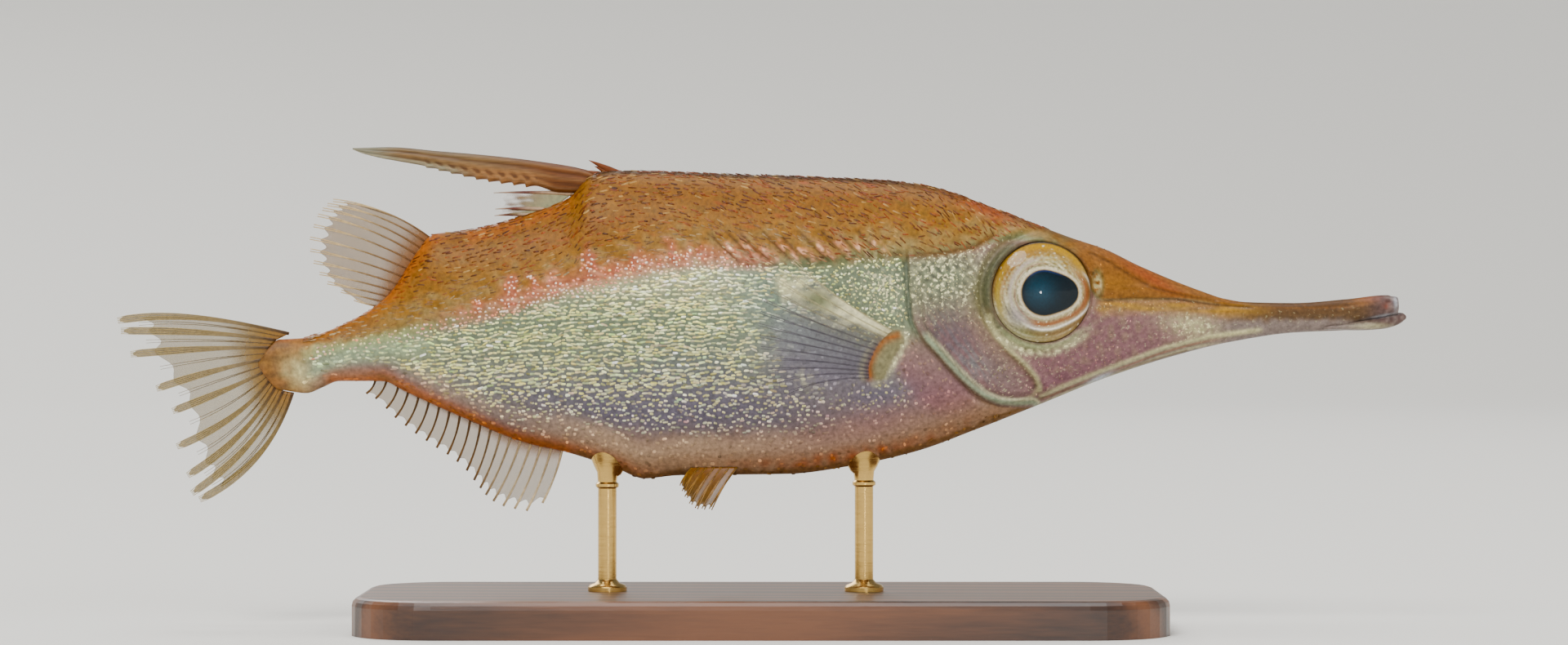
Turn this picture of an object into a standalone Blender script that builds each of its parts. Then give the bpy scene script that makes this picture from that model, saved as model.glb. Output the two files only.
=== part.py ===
"""Longspine snipefish (Macroramphosus scolopax), a still life-size model on a display stand.

The fish swims towards +X with its back up and its left side at +Y. Lengths are in millimetres
until a mesh is made. The origin is on the floor, below the middle of the whole length.
"""

import math

import bmesh
import bpy
import numpy as np

MM = 0.001
GAP = 0.3  # kept between nodes that touch

# Side outline of the body, as (x, z)
BACK = [
    (68.2, 35.3), (67.0, 35.75), (62.6, 35.3), (57.0, 34.9), (52.0, 35.0), (49.7, 35.35),
    (47.1, 36.2), (40.5, 38.9), (36.8, 40.7), (33.1, 41.95), (25.7, 44.8), (18.4, 47.35),
    (13.5, 48.05), (-1.9, 48.7), (-15.6, 49.1), (-18.2, 48.7), (-20.5, 46.3), (-24.6, 44.6),
    (-31.8, 42.7), (-35.2, 42.3), (-36.8, 40.5), (-39.3, 36.6), (-40.9, 34.9), (-46.8, 31.9),
    (-49.6, 31.2), (-53.0, 31.0),
]
BELLY = [
    (68.2, 32.3), (63.7, 32.0), (57.0, 31.7), (50.0, 30.65), (44.2, 29.2), (36.8, 26.8),
    (29.4, 23.8), (23.2, 21.35), (16.5, 18.9), (9.8, 17.4), (3.0, 16.5), (-8.9, 16.35),
    (-12.6, 16.0), (-15.3, 17.0), (-21.1, 18.9), (-24.7, 19.7), (-31.8, 22.5), (-38.2, 25.4),
    (-40.5, 26.5), (-45.3, 26.5), (-47.5, 25.8), (-49.6, 25.2), (-53.0, 25.6),
]
# Half width of the body, as (x, y), and how far up the section it is widest
HALF_WIDTH = [
    (68.2, 1.5), (66.0, 1.55), (60.0, 1.25), (52.0, 1.45), (47.0, 2.2), (40.5, 3.35),
    (34.9, 4.3), (29.4, 4.95), (22.0, 5.75), (14.0, 6.2), (6.0, 6.35), (-6.0, 6.1),
    (-16.0, 5.5), (-26.0, 4.4), (-36.0, 2.9), (-42.0, 1.85), (-48.0, 1.35), (-53.0, 0.8),
]
WIDEST_AT = [
    (68.2, 0.5), (50.0, 0.52), (40.0, 0.5), (29.4, 0.57), (14.0, 0.56), (-20.0, 0.52), (-53.0, 0.5),
]
# Power of the section's curve: 2 is an ellipse, more is boxier, and an edge power of 1 is a keel
BACK_POWER = [(68.2, 2.2), (45.0, 2.2), (33.0, 3.0), (24.0, 2.7), (12.0, 2.2), (-53.0, 2.0)]
BELLY_POWER = [(68.2, 2.2), (45.0, 2.0), (28.0, 2.2), (0.0, 2.3), (-30.0, 2.0), (-53.0, 2.0)]
BELLY_EDGE = [
    (68.2, 2.0), (46.0, 1.8), (34.0, 1.45), (10.0, 1.35), (-15.0, 1.45), (-40.0, 1.8), (-53.0, 2.0),
]

# Where the flesh is parted into nodes
SNOUT_CUT = 48.5
TAIL_CUT = -42.0
GILL_SLIT = [  # as (z, x), from the throat up
    (23.8, 29.2), (24.0, 25.6), (25.5, 22.1), (28.8, 18.8), (31.8, 16.3), (34.5, 15.75), (49.0, 15.75),
]
TAIL_END = -52.7  # middle of the root of the tail fin
TAIL_END_CURVE = 1.3  # how far its corners lie ahead of its middle
TAIL_ROOT_MIDDLE, TAIL_ROOT_HALF_HEIGHT = 28.2, 3.0
LIP_X, LIP_CURVE = 68.15, 0.35  # front of the upper lip, and how far its edges lie behind

# Mouth: the lower jaw closes against the slanted underside of the upper jaw
MOUTH_LINE = [(62.4, 31.9), (63.8, 32.75), (66.0, 33.15), (68.4, 33.85)]
JAW_TOP = [(64.0, 32.5), (66.0, 32.85), (67.6, 33.25), (68.3, 33.6), (68.7, 33.75), (69.0, 33.6)]
JAW_BOTTOM = [(64.0, 31.95), (66.5, 32.1), (67.8, 32.4), (68.6, 32.8), (69.0, 33.15)]
JAW_HALF_WIDTH = 1.3

# Eye: a lens seen as a disc, with a domed front
EYE_X, EYE_Z = 29.75, 35.95
EYE_RADIUS = 5.1
EYE_BACK, EYE_RIM, EYE_APEX = 2.3, 4.35, 5.95
EYE_TURN = math.radians(5.0)  # the lens faces slightly forward
ORBIT_RIM = 0.45

# Folds that stand out of the smooth head, as the lines that they follow
CHEEK_FOLD = [(24.8, 32.0), (27.5, 29.0), (30.6, 25.9)]
CHEEK_HOLLOW = [(33.5, 29.5), (40.5, 31.5)]
NOSE_FOLD = [(35.5, 36.2), (41.5, 36.4), (49.0, 34.6)]
NAPE_FOLDS = [[(foot, 41.8), (foot + 4.2, 38.6)] for foot in (-1.5, 1.9, 5.3, 8.7)]

# Gill cover, as an outline of (x, z) seen from the side
COVER_OUTLINE = [
    (17.0, 36.9), (16.9, 34.4), (17.4, 32.2), (19.1, 29.6), (21.3, 27.1), (23.8, 25.1),
    (26.5, 24.5), (28.9, 25.2), (29.3, 26.8), (28.0, 28.2), (26.2, 30.2), (24.2, 32.6),
    (22.3, 35.0), (20.2, 36.8), (18.4, 37.3),
]
COVER_DEPTH = 1.5
CLEAR_OF_HEAD = 9.0  # distance from the middle plane that lies outside the head everywhere

# Short first dorsal spine, lying back along the ridge of the back
THORN_FOOT = -15.9
THORN_LENGTH, THORN_HEIGHT, THORN_TIP = 2.3, 0.85, 0.12
THORN_RAKE = 0.35  # how far its foot leans forward

# Long second dorsal spine, with barbs along its lower edge
SPINE_TOP = [
    (-18.9, 49.2), (-23.7, 50.05), (-29.1, 50.7), (-34.9, 51.2), (-39.8, 51.6), (-43.8, 51.5),
]
SPINE_FOOT = [
    (-21.6, 46.9), (-24.0, 47.4), (-29.3, 48.1), (-32.7, 48.8), (-35.8, 49.5), (-42.7, 50.9),
    (-43.8, 51.4),
]
SPINE_ROOT_STATIONS = (-19.2, -20.3, -21.6, -23.2)
SPINE_TIP_STATIONS = (-37.6, -39.2, -41.0, -42.6, -43.7)
SPINE_HALF_WIDTH, SPINE_TIP_HALF_WIDTH = 0.75, 0.12
BARBS, BARB_START, BARB_END, BARB_SIZE = 8, -24.6, -36.0, 0.42

# Nostrils, two on each side ahead of the eye, as (x, z, radius)
NOSTRILS = [(36.3, 37.1, 0.42), (35.5, 38.1, 0.3)]
NOSTRIL_DEPTH = 0.9

# Fins
SOFT_DORSAL_RAYS, ANAL_RAYS, TAIL_RAYS, PECTORAL_RAYS, PELVIC_RAYS = 12, 19, 12, 11, 6
ANAL_REACH = [(0, 5.9), (1, 7.1), (3, 7.2), (6, 6.2), (9, 4.6), (13, 3.6), (16, 2.6), (18, 1.6)]
ANAL_LEAN = [(0, 20.0), (4, 24.0), (8, 16.0), (18, 30.0)]  # degrees back from straight down
TAIL_TIPS = [
    (-68.6, 33.2), (-69.0, 31.9), (-68.6, 30.3), (-66.9, 28.2), (-65.2, 25.9), (-63.6, 22.9),
    (-62.4, 19.4), (-61.4, 16.2), (-60.6, 13.6), (-58.9, 14.4),
]
PECTORAL_TIPS = [(3.4, 39.3), (0.9, 36.3), (-0.2, 32.6), (0.2, 29.0), (2.9, 25.5)]
WEB, RAY = 0.27, 0.42  # half thickness of a fin's membrane, and of its rays
PECTORAL_ROOT = 0.5  # half thickness that the fleshy foot of the pectoral fin adds
PECTORAL_FLARE = 5.5  # how far its tips stand off the flank
PELVIC_SPREAD = 1.35  # distance of each pelvic fin's foot from the keel

# Display stand
BASE_LENGTH, BASE_DEPTH, BASE_HEIGHT = 86.0, 36.0, 4.0
BASE_CORNER, BASE_BEVEL = 9.0, 0.9
ROD_RADIUS = 1.0
ROD_FEET = {"stand_rod_front": 11.0, "stand_rod_rear": -16.5}

GOLD, PINK, BROWN, AMBER = (0.62, 0.6, 0.5), (0.62, 0.42, 0.38), (0.5, 0.27, 0.13), (0.55, 0.4, 0.2)


def smooth_line(points):
    """A smooth function through (x, value) points that never overshoots them."""
    xs, values = np.array(sorted(points), float).T
    widths = np.diff(xs)
    slopes = np.diff(values) / widths
    tangents = np.concatenate([slopes[:1], np.zeros(len(xs) - 2), slopes[-1:]])
    for k in range(1, len(xs) - 1):
        before, after = slopes[k - 1], slopes[k]
        if before * after > 0:
            w1, w2 = 2 * widths[k] + widths[k - 1], widths[k] + 2 * widths[k - 1]
            tangents[k] = (w1 + w2) / (w1 / before + w2 / after)

    def line(x):
        x = np.clip(np.asarray(x, float), xs[0], xs[-1])
        k = np.clip(np.searchsorted(xs, x) - 1, 0, len(xs) - 2)
        h = widths[k]
        s = (x - xs[k]) / h
        return (
            values[k] * (1 + 2 * s) * (1 - s) ** 2
            + tangents[k] * h * s * (1 - s) ** 2
            + values[k + 1] * s * s * (3 - 2 * s)
            + tangents[k + 1] * h * s * s * (s - 1)
        )

    return line


back, belly = smooth_line(BACK), smooth_line(BELLY)
half_width, widest_at = smooth_line(HALF_WIDTH), smooth_line(WIDEST_AT)
back_power, belly_power = smooth_line(BACK_POWER), smooth_line(BELLY_POWER)
belly_edge = smooth_line(BELLY_EDGE)
gill_slit_at = smooth_line(GILL_SLIT)
mouth_line = smooth_line(MOUTH_LINE)


def bump(distance, width):
    """1 at no distance, and falling smoothly to nothing over about two widths."""
    return np.exp(-((distance / width) ** 2))


def ramp(value, start, end):
    """0 before start, 1 after end, and smooth between them."""
    s = np.clip((value - start) / (end - start), 0, 1)
    return s * s * (3 - 2 * s)


def distance_to_line(x, z, points):
    """Distance of each (x, z) from a broken line."""
    nearest = np.full(np.shape(x), 1e9)
    for (x0, z0), (x1, z1) in zip(points, points[1:]):
        dx, dz = x1 - x0, z1 - z0
        along = np.clip(((x - x0) * dx + (z - z0) * dz) / (dx * dx + dz * dz), 0, 1)
        nearest = np.minimum(nearest, np.hypot(x - x0 - along * dx, z - z0 - along * dz))
    return nearest


def mid_height(x, low=belly):
    """Height at which the section is widest."""
    return low(x) + widest_at(x) * (back(x) - low(x))


def height_at(x, t, low=belly):
    """Height of the section's point t, from -1 at the belly to 1 at the back."""
    middle = mid_height(x, low)
    return middle + np.where(t > 0, (back(x) - middle) * t, (middle - low(x)) * t)


def height_share(x, z, low=belly):
    """The t of a height, the inverse of height_at."""
    middle = mid_height(x, low)
    return np.where(z > middle, (z - middle) / (back(x) - middle), (z - middle) / (middle - low(x)))


def relief(x, z):
    """How far the bones stand out of the smooth form: orbit, cheek, gill cover, nape and plates."""
    ring = np.hypot(x - EYE_X, z - EYE_Z)
    out = ORBIT_RIM * bump(ring - EYE_RADIUS - 0.75, 0.6)
    ahead = x - gill_slit_at(z)
    shown = ramp(z, 23.0, 25.0) * ramp(-z, -41.5, -39.0)
    out = out + 0.35 * np.where(ahead > 0, bump(ahead, 1.6), 0) * shown
    folds = [(CHEEK_FOLD, 0.3, 0.6), (CHEEK_HOLLOW, -0.3, 1.6), (NOSE_FOLD, 0.25, 0.5)]
    for line, height, width in folds + [(fold, 0.22, 0.55) for fold in NAPE_FOLDS]:
        out = out + height * bump(distance_to_line(x, z, line), width)
    return out


def side(x, t, low=belly):
    """Half width of the body at section point t."""
    share = np.clip(np.abs(t), 0, 1)
    over = (1 - share ** back_power(x)) ** 0.5
    under = (1 - share ** belly_power(x)) ** (1 / belly_edge(x))
    round_off = np.where(t > 0, over, under)
    flat = ramp(1 - share, 0.0, 0.25)
    return half_width(x) * round_off + flat * relief(x, height_at(x, t, low))


def flank(x, z):
    """Half width of the body at a place seen from the side."""
    return side(x, np.clip(height_share(x, z), -1, 1))


def under_side(x, y):
    """Height of the belly's skin over each place (x, y) near the keel."""
    t = np.linspace(-1, -0.3, 80)
    places = zip(np.ravel(x), np.ravel(y))
    found = [np.interp(abs(off), side(at, t), height_at(at, t)) for at, off in places]
    return np.reshape(found, np.shape(x))


def make_object(name, mesh, colour, roughness=0.45, metallic=0.0):
    """An object of one plain finish, put in the scene."""
    material = bpy.data.materials.new(name + "_finish")
    material.use_nodes = True
    shader = material.node_tree.nodes["Principled BSDF"]
    shader.inputs["Base Color"].default_value = (*colour, 1.0)
    shader.inputs["Roughness"].default_value = roughness
    shader.inputs["Metallic"].default_value = metallic
    mesh.materials.append(material)
    made = bpy.data.objects.new(name, mesh)
    bpy.context.scene.collection.objects.link(made)
    return made


def mesh_from(name, points, faces):
    """A mesh in metres, its faces turned outwards."""
    mesh = bpy.data.meshes.new(name)
    mesh.from_pydata([tuple(MM * value for value in point) for point in points], [], faces)
    shape = bmesh.new()
    shape.from_mesh(mesh)
    bmesh.ops.recalc_face_normals(shape, faces=shape.faces)
    if shape.calc_volume(signed=True) < 0:
        bmesh.ops.reverse_faces(shape, faces=shape.faces)
    shape.to_mesh(mesh)
    shape.free()
    mesh.shade_smooth()
    mesh.set_sharp_from_angle(angle=math.radians(50))
    return mesh


def tube_faces(rings, around):
    """Quads along rings of like points, with each end closed by strips from side to side."""
    faces = []
    for k in range(rings - 1):
        for j in range(around):
            n = (j + 1) % around
            faces.append((k * around + j, k * around + n, (k + 1) * around + n, (k + 1) * around + j))
    half = around // 2
    for start in (0, (rings - 1) * around):
        faces.append((start, start + 1, start + around - 1))
        for j in range(1, half - 1):
            faces.append((start + j, start + j + 1, start + around - j - 1, start + around - j))
        faces.append((start + half - 1, start + half, start + half + 1))
    return faces


def loft(name, front_at, rear_at, rings, around, colour, crowded=(), low=belly):
    """A length of the body between two lines, each an x for every section point t.

    crowded lists (place, spread, weight) where the rings lie closer together.
    """
    half = around // 2
    t = np.sin(np.linspace(math.pi / 2, -math.pi / 2, half + 1))
    fine = np.linspace(0, 1, 400)
    middle = rear_at(0.0) + (front_at(0.0) - rear_at(0.0)) * fine
    density = np.ones_like(fine)
    for place, spread, weight in crowded:
        density += weight * bump(middle - place, spread)
    gathered = np.concatenate([[0], np.cumsum((density[1:] + density[:-1]) / 2)])
    shares = np.interp(np.linspace(0, gathered[-1], rings), gathered, fine)
    points = []
    for share in shares:
        x = rear_at(t) + (front_at(t) - rear_at(t)) * share
        y, z = side(x, t, low), height_at(x, t, low)
        y[0] = y[-1] = 0.0
        points += [(x[j], y[j], z[j]) for j in range(half + 1)]
        points += [(x[j], -y[j], z[j]) for j in range(half - 1, 0, -1)]
    return make_object(name, mesh_from(name, points, tube_faces(rings, around)), colour)


def straight_cut(x):
    """A line across the body at one x for every section point."""
    return lambda t: np.full(np.shape(t), x)


def gill_slit_of(t):
    """The x of the gill slit at each section point."""
    z = np.linspace(23.85, 48.0, 160)
    x = gill_slit_at(z)
    share = np.clip(height_share(x, z), -1, 1)
    return np.interp(t, share, x)


def turned(name, profile, steps, colour, **finish):
    """A solid turned about +Y from (radius, y) points that start and end on the axis."""
    shape = bmesh.new()
    verts = [shape.verts.new((0.0, MM * y, MM * r)) for r, y in profile]
    edges = [shape.edges.new(pair) for pair in zip(verts, verts[1:])]
    bmesh.ops.spin(
        shape, geom=verts + edges, cent=(0, 0, 0), axis=(0, 1, 0), angle=2 * math.pi, steps=steps
    )
    bmesh.ops.remove_doubles(shape, verts=shape.verts, dist=1e-6)
    bmesh.ops.recalc_face_normals(shape, faces=shape.faces)
    mesh = bpy.data.meshes.new(name)
    shape.to_mesh(mesh)
    shape.free()
    mesh.shade_smooth()
    mesh.set_sharp_from_angle(angle=math.radians(50))
    return make_object(name, mesh, colour, **finish)


def set_on_side(piece, x, z, hand, turn=0.0):
    """Turns a piece made about +Y to look out of one side of the head."""
    piece.location = (MM * x, 0, MM * z)
    piece.rotation_euler = (0, 0, -turn if hand > 0 else math.pi + turn)


def boolean(target, tool, operation):
    """Cuts a piece with a tool, or trims it to one, and marks the tool for removal."""
    modifier = target.modifiers.new(operation.lower(), "BOOLEAN")
    modifier.operation = operation
    modifier.object = tool
    modifier.solver = "EXACT"
    tool.hide_render = True
    tool.display_type = "WIRE"


def apply_modifiers(piece):
    """Bakes the modifiers into the mesh, so that the tools they used can go."""
    bpy.context.view_layer.update()
    graph = bpy.context.evaluated_depsgraph_get()
    made = bpy.data.meshes.new_from_object(piece.evaluated_get(graph))
    piece.modifiers.clear()
    piece.data = made


def cover_block(name, outline, hand, inner_lift):
    """A slanted prism over the gill cover, whose inner face follows the flank at a depth."""
    outline = np.array(outline)
    inner = flank(outline[:, 0], outline[:, 1]) - COVER_DEPTH + inner_lift
    count = len(outline)
    points = [(x, hand * y, z) for (x, z), y in zip(outline, inner)]
    points += [(x, hand * CLEAR_OF_HEAD, z) for x, z in outline]
    centre = outline.mean(axis=0)
    middle = flank(centre[0], centre[1]) - COVER_DEPTH + inner_lift
    points += [(centre[0], hand * y, centre[1]) for y in (float(middle), CLEAR_OF_HEAD)]
    faces = []
    for k in range(count):
        n = (k + 1) % count
        faces += [(k, n, count + n, count + k), (n, k, 2 * count), (count + k, count + n, 2 * count + 1)]
    return make_object(name, mesh_from(name, points, faces), PINK)


def grown(outline, amount):
    """An outline moved outwards by about an amount."""
    outline = np.array(outline)
    along = np.roll(outline, -1, axis=0) - np.roll(outline, 1, axis=0)
    out = np.stack([along[:, 1], -along[:, 0]], axis=1)
    out /= np.linalg.norm(out, axis=1, keepdims=True)
    outward = np.sign(((outline - outline.mean(axis=0)) * out).sum())
    return outline + out * outward * amount


def fin(
    name, bases, tips, bows, web_reach, rows, colour, spread=0.26, lie=None, root=0.0, web=WEB, ray=RAY
):
    """A fin of rays with a membrane between them, one closed sheet with the rays as ridges.

    bases, tips and bows are functions of a ray's number; lie gives the y of the sheet's middle
    from x, z and the share along the ray; root thickens the fleshy foot of the fin. Columns of
    points run from base to edge: a crest on each ray, and a membrane column on both its sides.
    """
    count = int(bases.count)
    place = np.sort(np.concatenate([np.arange(count) + step for step in (-spread, 0.0, spread)]))
    place = place[1:-1, None]
    crest = np.isclose(place, np.round(place))
    reach = np.where(crest, 1.0, web_reach)
    v = np.linspace(0, 1, rows + 1)[None, :]
    share = v * reach
    foot, tip = bases(place), tips(place)
    run = tip - foot
    length = np.hypot(run[..., 0], run[..., 1])
    normal = np.stack([-run[..., 1], run[..., 0]], axis=-1) / length[..., None]
    bow = 4 * bows(place) * share * (1 - share)
    spot = foot + run * share[..., None] + normal * bow[..., None]
    x, z = spot[..., 0], spot[..., 1]
    taper = 1 - 0.45 * share**2
    half = np.where(crest, ray, web) * taper + root * (1 - ramp(share, 0.05, 0.3))
    half = half * np.where((place <= 0) | (place >= count - 1), 0.8, 1.0)
    middle = np.zeros_like(x) if lie is None else lie(x, z, share)
    across, along = x.shape
    points = [(x[i, j], middle[i, j] + half[i, j], z[i, j]) for i in range(across) for j in range(along)]
    points += [(x[i, j], middle[i, j] - half[i, j], z[i, j]) for i in range(across) for j in range(along)]
    far = across * along
    faces = []
    for i in range(across - 1):
        for j in range(along - 1):
            a, b = i * along + j, (i + 1) * along + j
            faces += [(a, b, b + 1), (a, b + 1, a + 1)]
            faces += [(far + a, far + b + 1, far + b), (far + a, far + a + 1, far + b + 1)]
    edge = [i * along for i in range(across)]
    edge += [(across - 1) * along + j for j in range(1, along)]
    edge += [i * along + along - 1 for i in range(across - 2, -1, -1)]
    edge += [j for j in range(along - 2, 0, -1)]
    for a, b in zip(edge, edge[1:] + edge[:1]):
        faces += [(a, far + a, far + b), (a, far + b, b)]
    return make_object(name, mesh_from(name, points, faces), colour)


class RayLine:
    """Places of a fin's rays, smooth in the ray's number, from a few given (x, z) points."""

    def __init__(self, count, points):
        self.count = count
        numbers = np.linspace(0, count - 1, len(points))
        self.x = smooth_line([(n, p[0]) for n, p in zip(numbers, points)])
        self.z = smooth_line([(n, p[1]) for n, p in zip(numbers, points)])

    def __call__(self, number):
        return np.stack([self.x(number), self.z(number)], axis=-1)


class OnOutline(RayLine):
    """Ray feet along the body's own outline, a gap clear of it."""

    def __init__(self, count, front, rear, outline, lift):
        self.count = count
        self.front, self.rear, self.outline, self.lift = front, rear, outline, lift

    def __call__(self, number):
        x = self.front + (self.rear - self.front) * np.asarray(number) / (self.count - 1)
        ahead, behind = self.outline(x + 0.2), self.outline(x - 0.2)
        slope = (ahead - behind) / 0.4
        size = np.sqrt(1 + slope**2)
        return np.stack([x - slope / size * self.lift, self.outline(x) + self.lift / size], axis=-1)


class LeaningTips:
    """Ray tips that lie a given way out from the rays' feet, at an angle back from straight down."""

    def __init__(self, feet, reach, lean):
        self.feet, self.reach, self.lean = feet, smooth_line(reach), smooth_line(lean)

    def __call__(self, number):
        angle = np.radians(self.lean(number))
        out = np.stack([-np.sin(angle), -np.cos(angle)], axis=-1)
        return self.feet(number) + out * self.reach(number)[..., None]


class TailFeet:
    """Ray feet along the curved root of the tail fin, a gap clear of it."""

    def __init__(self, count):
        self.count = count

    def __call__(self, number):
        t = 1 - 2 * np.asarray(number) / (self.count - 1)
        x = TAIL_END - GAP + TAIL_END_CURVE * t**2
        return np.stack([x, TAIL_ROOT_MIDDLE + TAIL_ROOT_HALF_HEIGHT * t], axis=-1)


def make_body():
    """Snout, jaw, head, trunk and tail, parted by thin cuts, with the eyes and gill covers let in."""
    half_gap = GAP / 2

    def upper_jaw(x):
        return np.where(x > MOUTH_LINE[0][0], np.maximum(belly(x), mouth_line(x)), belly(x))

    loft(
        "snout", lambda t: LIP_X - LIP_CURVE * np.abs(t) ** 3, straight_cut(SNOUT_CUT + half_gap),
        18, 22, PINK, crowded=[(67.0, 2.0, 2.0)], low=upper_jaw,
    )
    head = loft(
        "head", straight_cut(SNOUT_CUT - half_gap), lambda t: gill_slit_of(t) + half_gap,
        38, 40, PINK, crowded=[(EYE_X, 7.0, 0.6)],
    )
    loft(
        "trunk", lambda t: gill_slit_of(t) - half_gap, straight_cut(TAIL_CUT + half_gap),
        42, 36, GOLD, crowded=[(-19.5, 3.0, 1.8), (-36.5, 3.5, 1.3), (-12.5, 2.5, 0.6)],
    )
    loft(
        "tail", straight_cut(TAIL_CUT - half_gap), lambda t: TAIL_END + TAIL_END_CURVE * t**2,
        11, 24, GOLD,
    )

    for hand, word in ((1, "left"), (-1, "right")):
        make_gill_cover(head, hand, word)
        make_eye(head, hand, word)
        for number, (x, z, radius) in enumerate(NOSTRILS):
            skin = float(flank(x, z))
            floor, above = skin - NOSTRIL_DEPTH, skin + 1.0
            profile = [(0, floor), (radius * 0.6, floor), (radius, above), (0, above)]
            pit = turned(f"nostril_{word}_{number}", profile, 10, BROWN)
            set_on_side(pit, x, z, hand)
            boolean(head, pit, "DIFFERENCE")
    apply_modifiers(head)


def make_eye(head, hand, word):
    """An eye with a domed front, in a round socket cut into the head."""
    wide = EYE_RADIUS + GAP
    pit = [(0, EYE_BACK - GAP), (wide - 0.5, EYE_BACK - GAP), (wide, EYE_BACK + 0.4)]
    pit += [(wide, CLEAR_OF_HEAD), (0, CLEAR_OF_HEAD)]
    socket = turned("socket_" + word, pit, 36, BROWN)
    set_on_side(socket, EYE_X, EYE_Z, hand, EYE_TURN)
    boolean(head, socket, "DIFFERENCE")
    back_of_eye = [(0, EYE_BACK), (EYE_RADIUS - 0.5, EYE_BACK), (EYE_RADIUS, EYE_BACK + 0.5)]
    dome = [
        (EYE_RADIUS * math.sin(a), EYE_RIM + (EYE_APEX - EYE_RIM) * math.cos(a) ** 1.3)
        for a in np.linspace(math.pi / 2, math.pi / 14, 6)
    ]
    profile = back_of_eye + dome + [(0, EYE_APEX)]
    eye = turned("eye_" + word, profile, 26, (0.1, 0.15, 0.17), roughness=0.08)
    set_on_side(eye, EYE_X, EYE_Z, hand, EYE_TURN)


def make_gill_cover(head, hand, word):
    """A plate of the head's own surface, let into a hollow with a thin line all round it."""
    gill_cover = head_copy(head, "gill_cover_" + word)
    plate = cover_block("cover_" + word, grown(COVER_OUTLINE, -GAP / 2), hand, GAP / 2)
    boolean(gill_cover, plate, "INTERSECT")
    apply_modifiers(gill_cover)
    hollow = cover_block("cover_hollow_" + word, grown(COVER_OUTLINE, GAP / 2), hand, -GAP / 2)
    boolean(head, hollow, "DIFFERENCE")


def head_copy(head, name):
    """A second head with no cuts, to be trimmed to a gill cover."""
    copy = head.copy()
    copy.data = head.data.copy()
    copy.name = copy.data.name = name
    copy.modifiers.clear()
    bpy.context.scene.collection.objects.link(copy)
    return copy


def make_lower_jaw():
    """A short scoop under the mouth line, its chin a little ahead of the upper lip."""
    rings, around = 9, 16
    upper, lower = smooth_line(JAW_TOP), smooth_line(JAW_BOTTOM)
    shares = np.linspace(0, 1, rings)
    points = []
    for share in shares:
        x = JAW_TOP[0][0] + (JAW_TOP[-1][0] - JAW_TOP[0][0]) * (1 - (1 - share) ** 1.4)
        top, bottom = float(upper(x)), float(lower(x))
        wide = JAW_HALF_WIDTH * (1 - 0.45 * share**4)
        for k in range(around):
            angle = math.pi / 2 + 2 * math.pi * k / around
            y = wide * math.cos(angle)
            z = (top + bottom) / 2 + (top - bottom) / 2 * math.sin(angle)
            points.append((x, y, z))
    make_object("lower_jaw", mesh_from("lower_jaw", points, tube_faces(rings, around)), PINK)


def make_long_spine():
    """The great second dorsal spine: a tapered blade with barbs along its rear edge."""
    upper, lower = smooth_line(SPINE_TOP), smooth_line(SPINE_FOOT)
    slanted_root = SPINE_FOOT[0][0]
    stations = [(x, 0.0) for x in SPINE_ROOT_STATIONS]
    pitch = (BARB_END - BARB_START) / BARBS
    for k in range(BARBS):
        start, size = BARB_START + pitch * k, BARB_SIZE * (1 - 0.05 * k)
        stations += [(start, 0.0), (start + 0.75 * pitch, size)]
    stations += [(x, 0.0) for x in (BARB_END, *SPINE_TIP_STATIONS)]
    rows, around = len(stations), 8
    points = []
    for x, barb in stations:
        top, bottom = float(upper(x)), float(lower(min(x, slanted_root))) - barb
        if x > slanted_root:  # the root is cut along the slope of the back
            bottom = float(back(x)) + GAP + 0.35
        wide = SPINE_HALF_WIDTH * min(1.0, (x + 45.0) / 12.0) + SPINE_TIP_HALF_WIDTH
        middle = (top + bottom + barb) / 2
        heights = [top, (top * 2 + middle) / 3, middle, middle - (middle - bottom - barb) * 0.7, bottom]
        widths = [0.0, 0.75, 1.0, 0.8, 0.0]
        points += [(x, wide * w, h) for w, h in zip(widths, heights)]
        points += [(x, -wide * w, h) for w, h in zip(widths[3:0:-1], heights[3:0:-1])]
    make_object(
        "dorsal_spine_long", mesh_from("dorsal_spine_long", points, tube_faces(rows, around)), PINK
    )


def make_small_spine():
    """The short first dorsal spine, a hooked thorn just ahead of the long one."""
    name = "dorsal_spine_small"
    rings, around = 6, 8
    angle = math.pi / 2 + 2 * math.pi * np.arange(around) / around
    points = []
    for share in np.linspace(0, 1, rings):
        x = THORN_FOOT - THORN_LENGTH * share
        high = THORN_HEIGHT * (1 - share) + THORN_TIP
        low = float(back(x)) + GAP + 0.3 * share
        z = low + high / 2 * (1 + np.sin(angle))
        points += [*zip(x - THORN_RAKE * np.sin(angle), 0.55 * high * np.cos(angle), z)]
    make_object(name, mesh_from(name, points, tube_faces(rings, around)), PINK)


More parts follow.
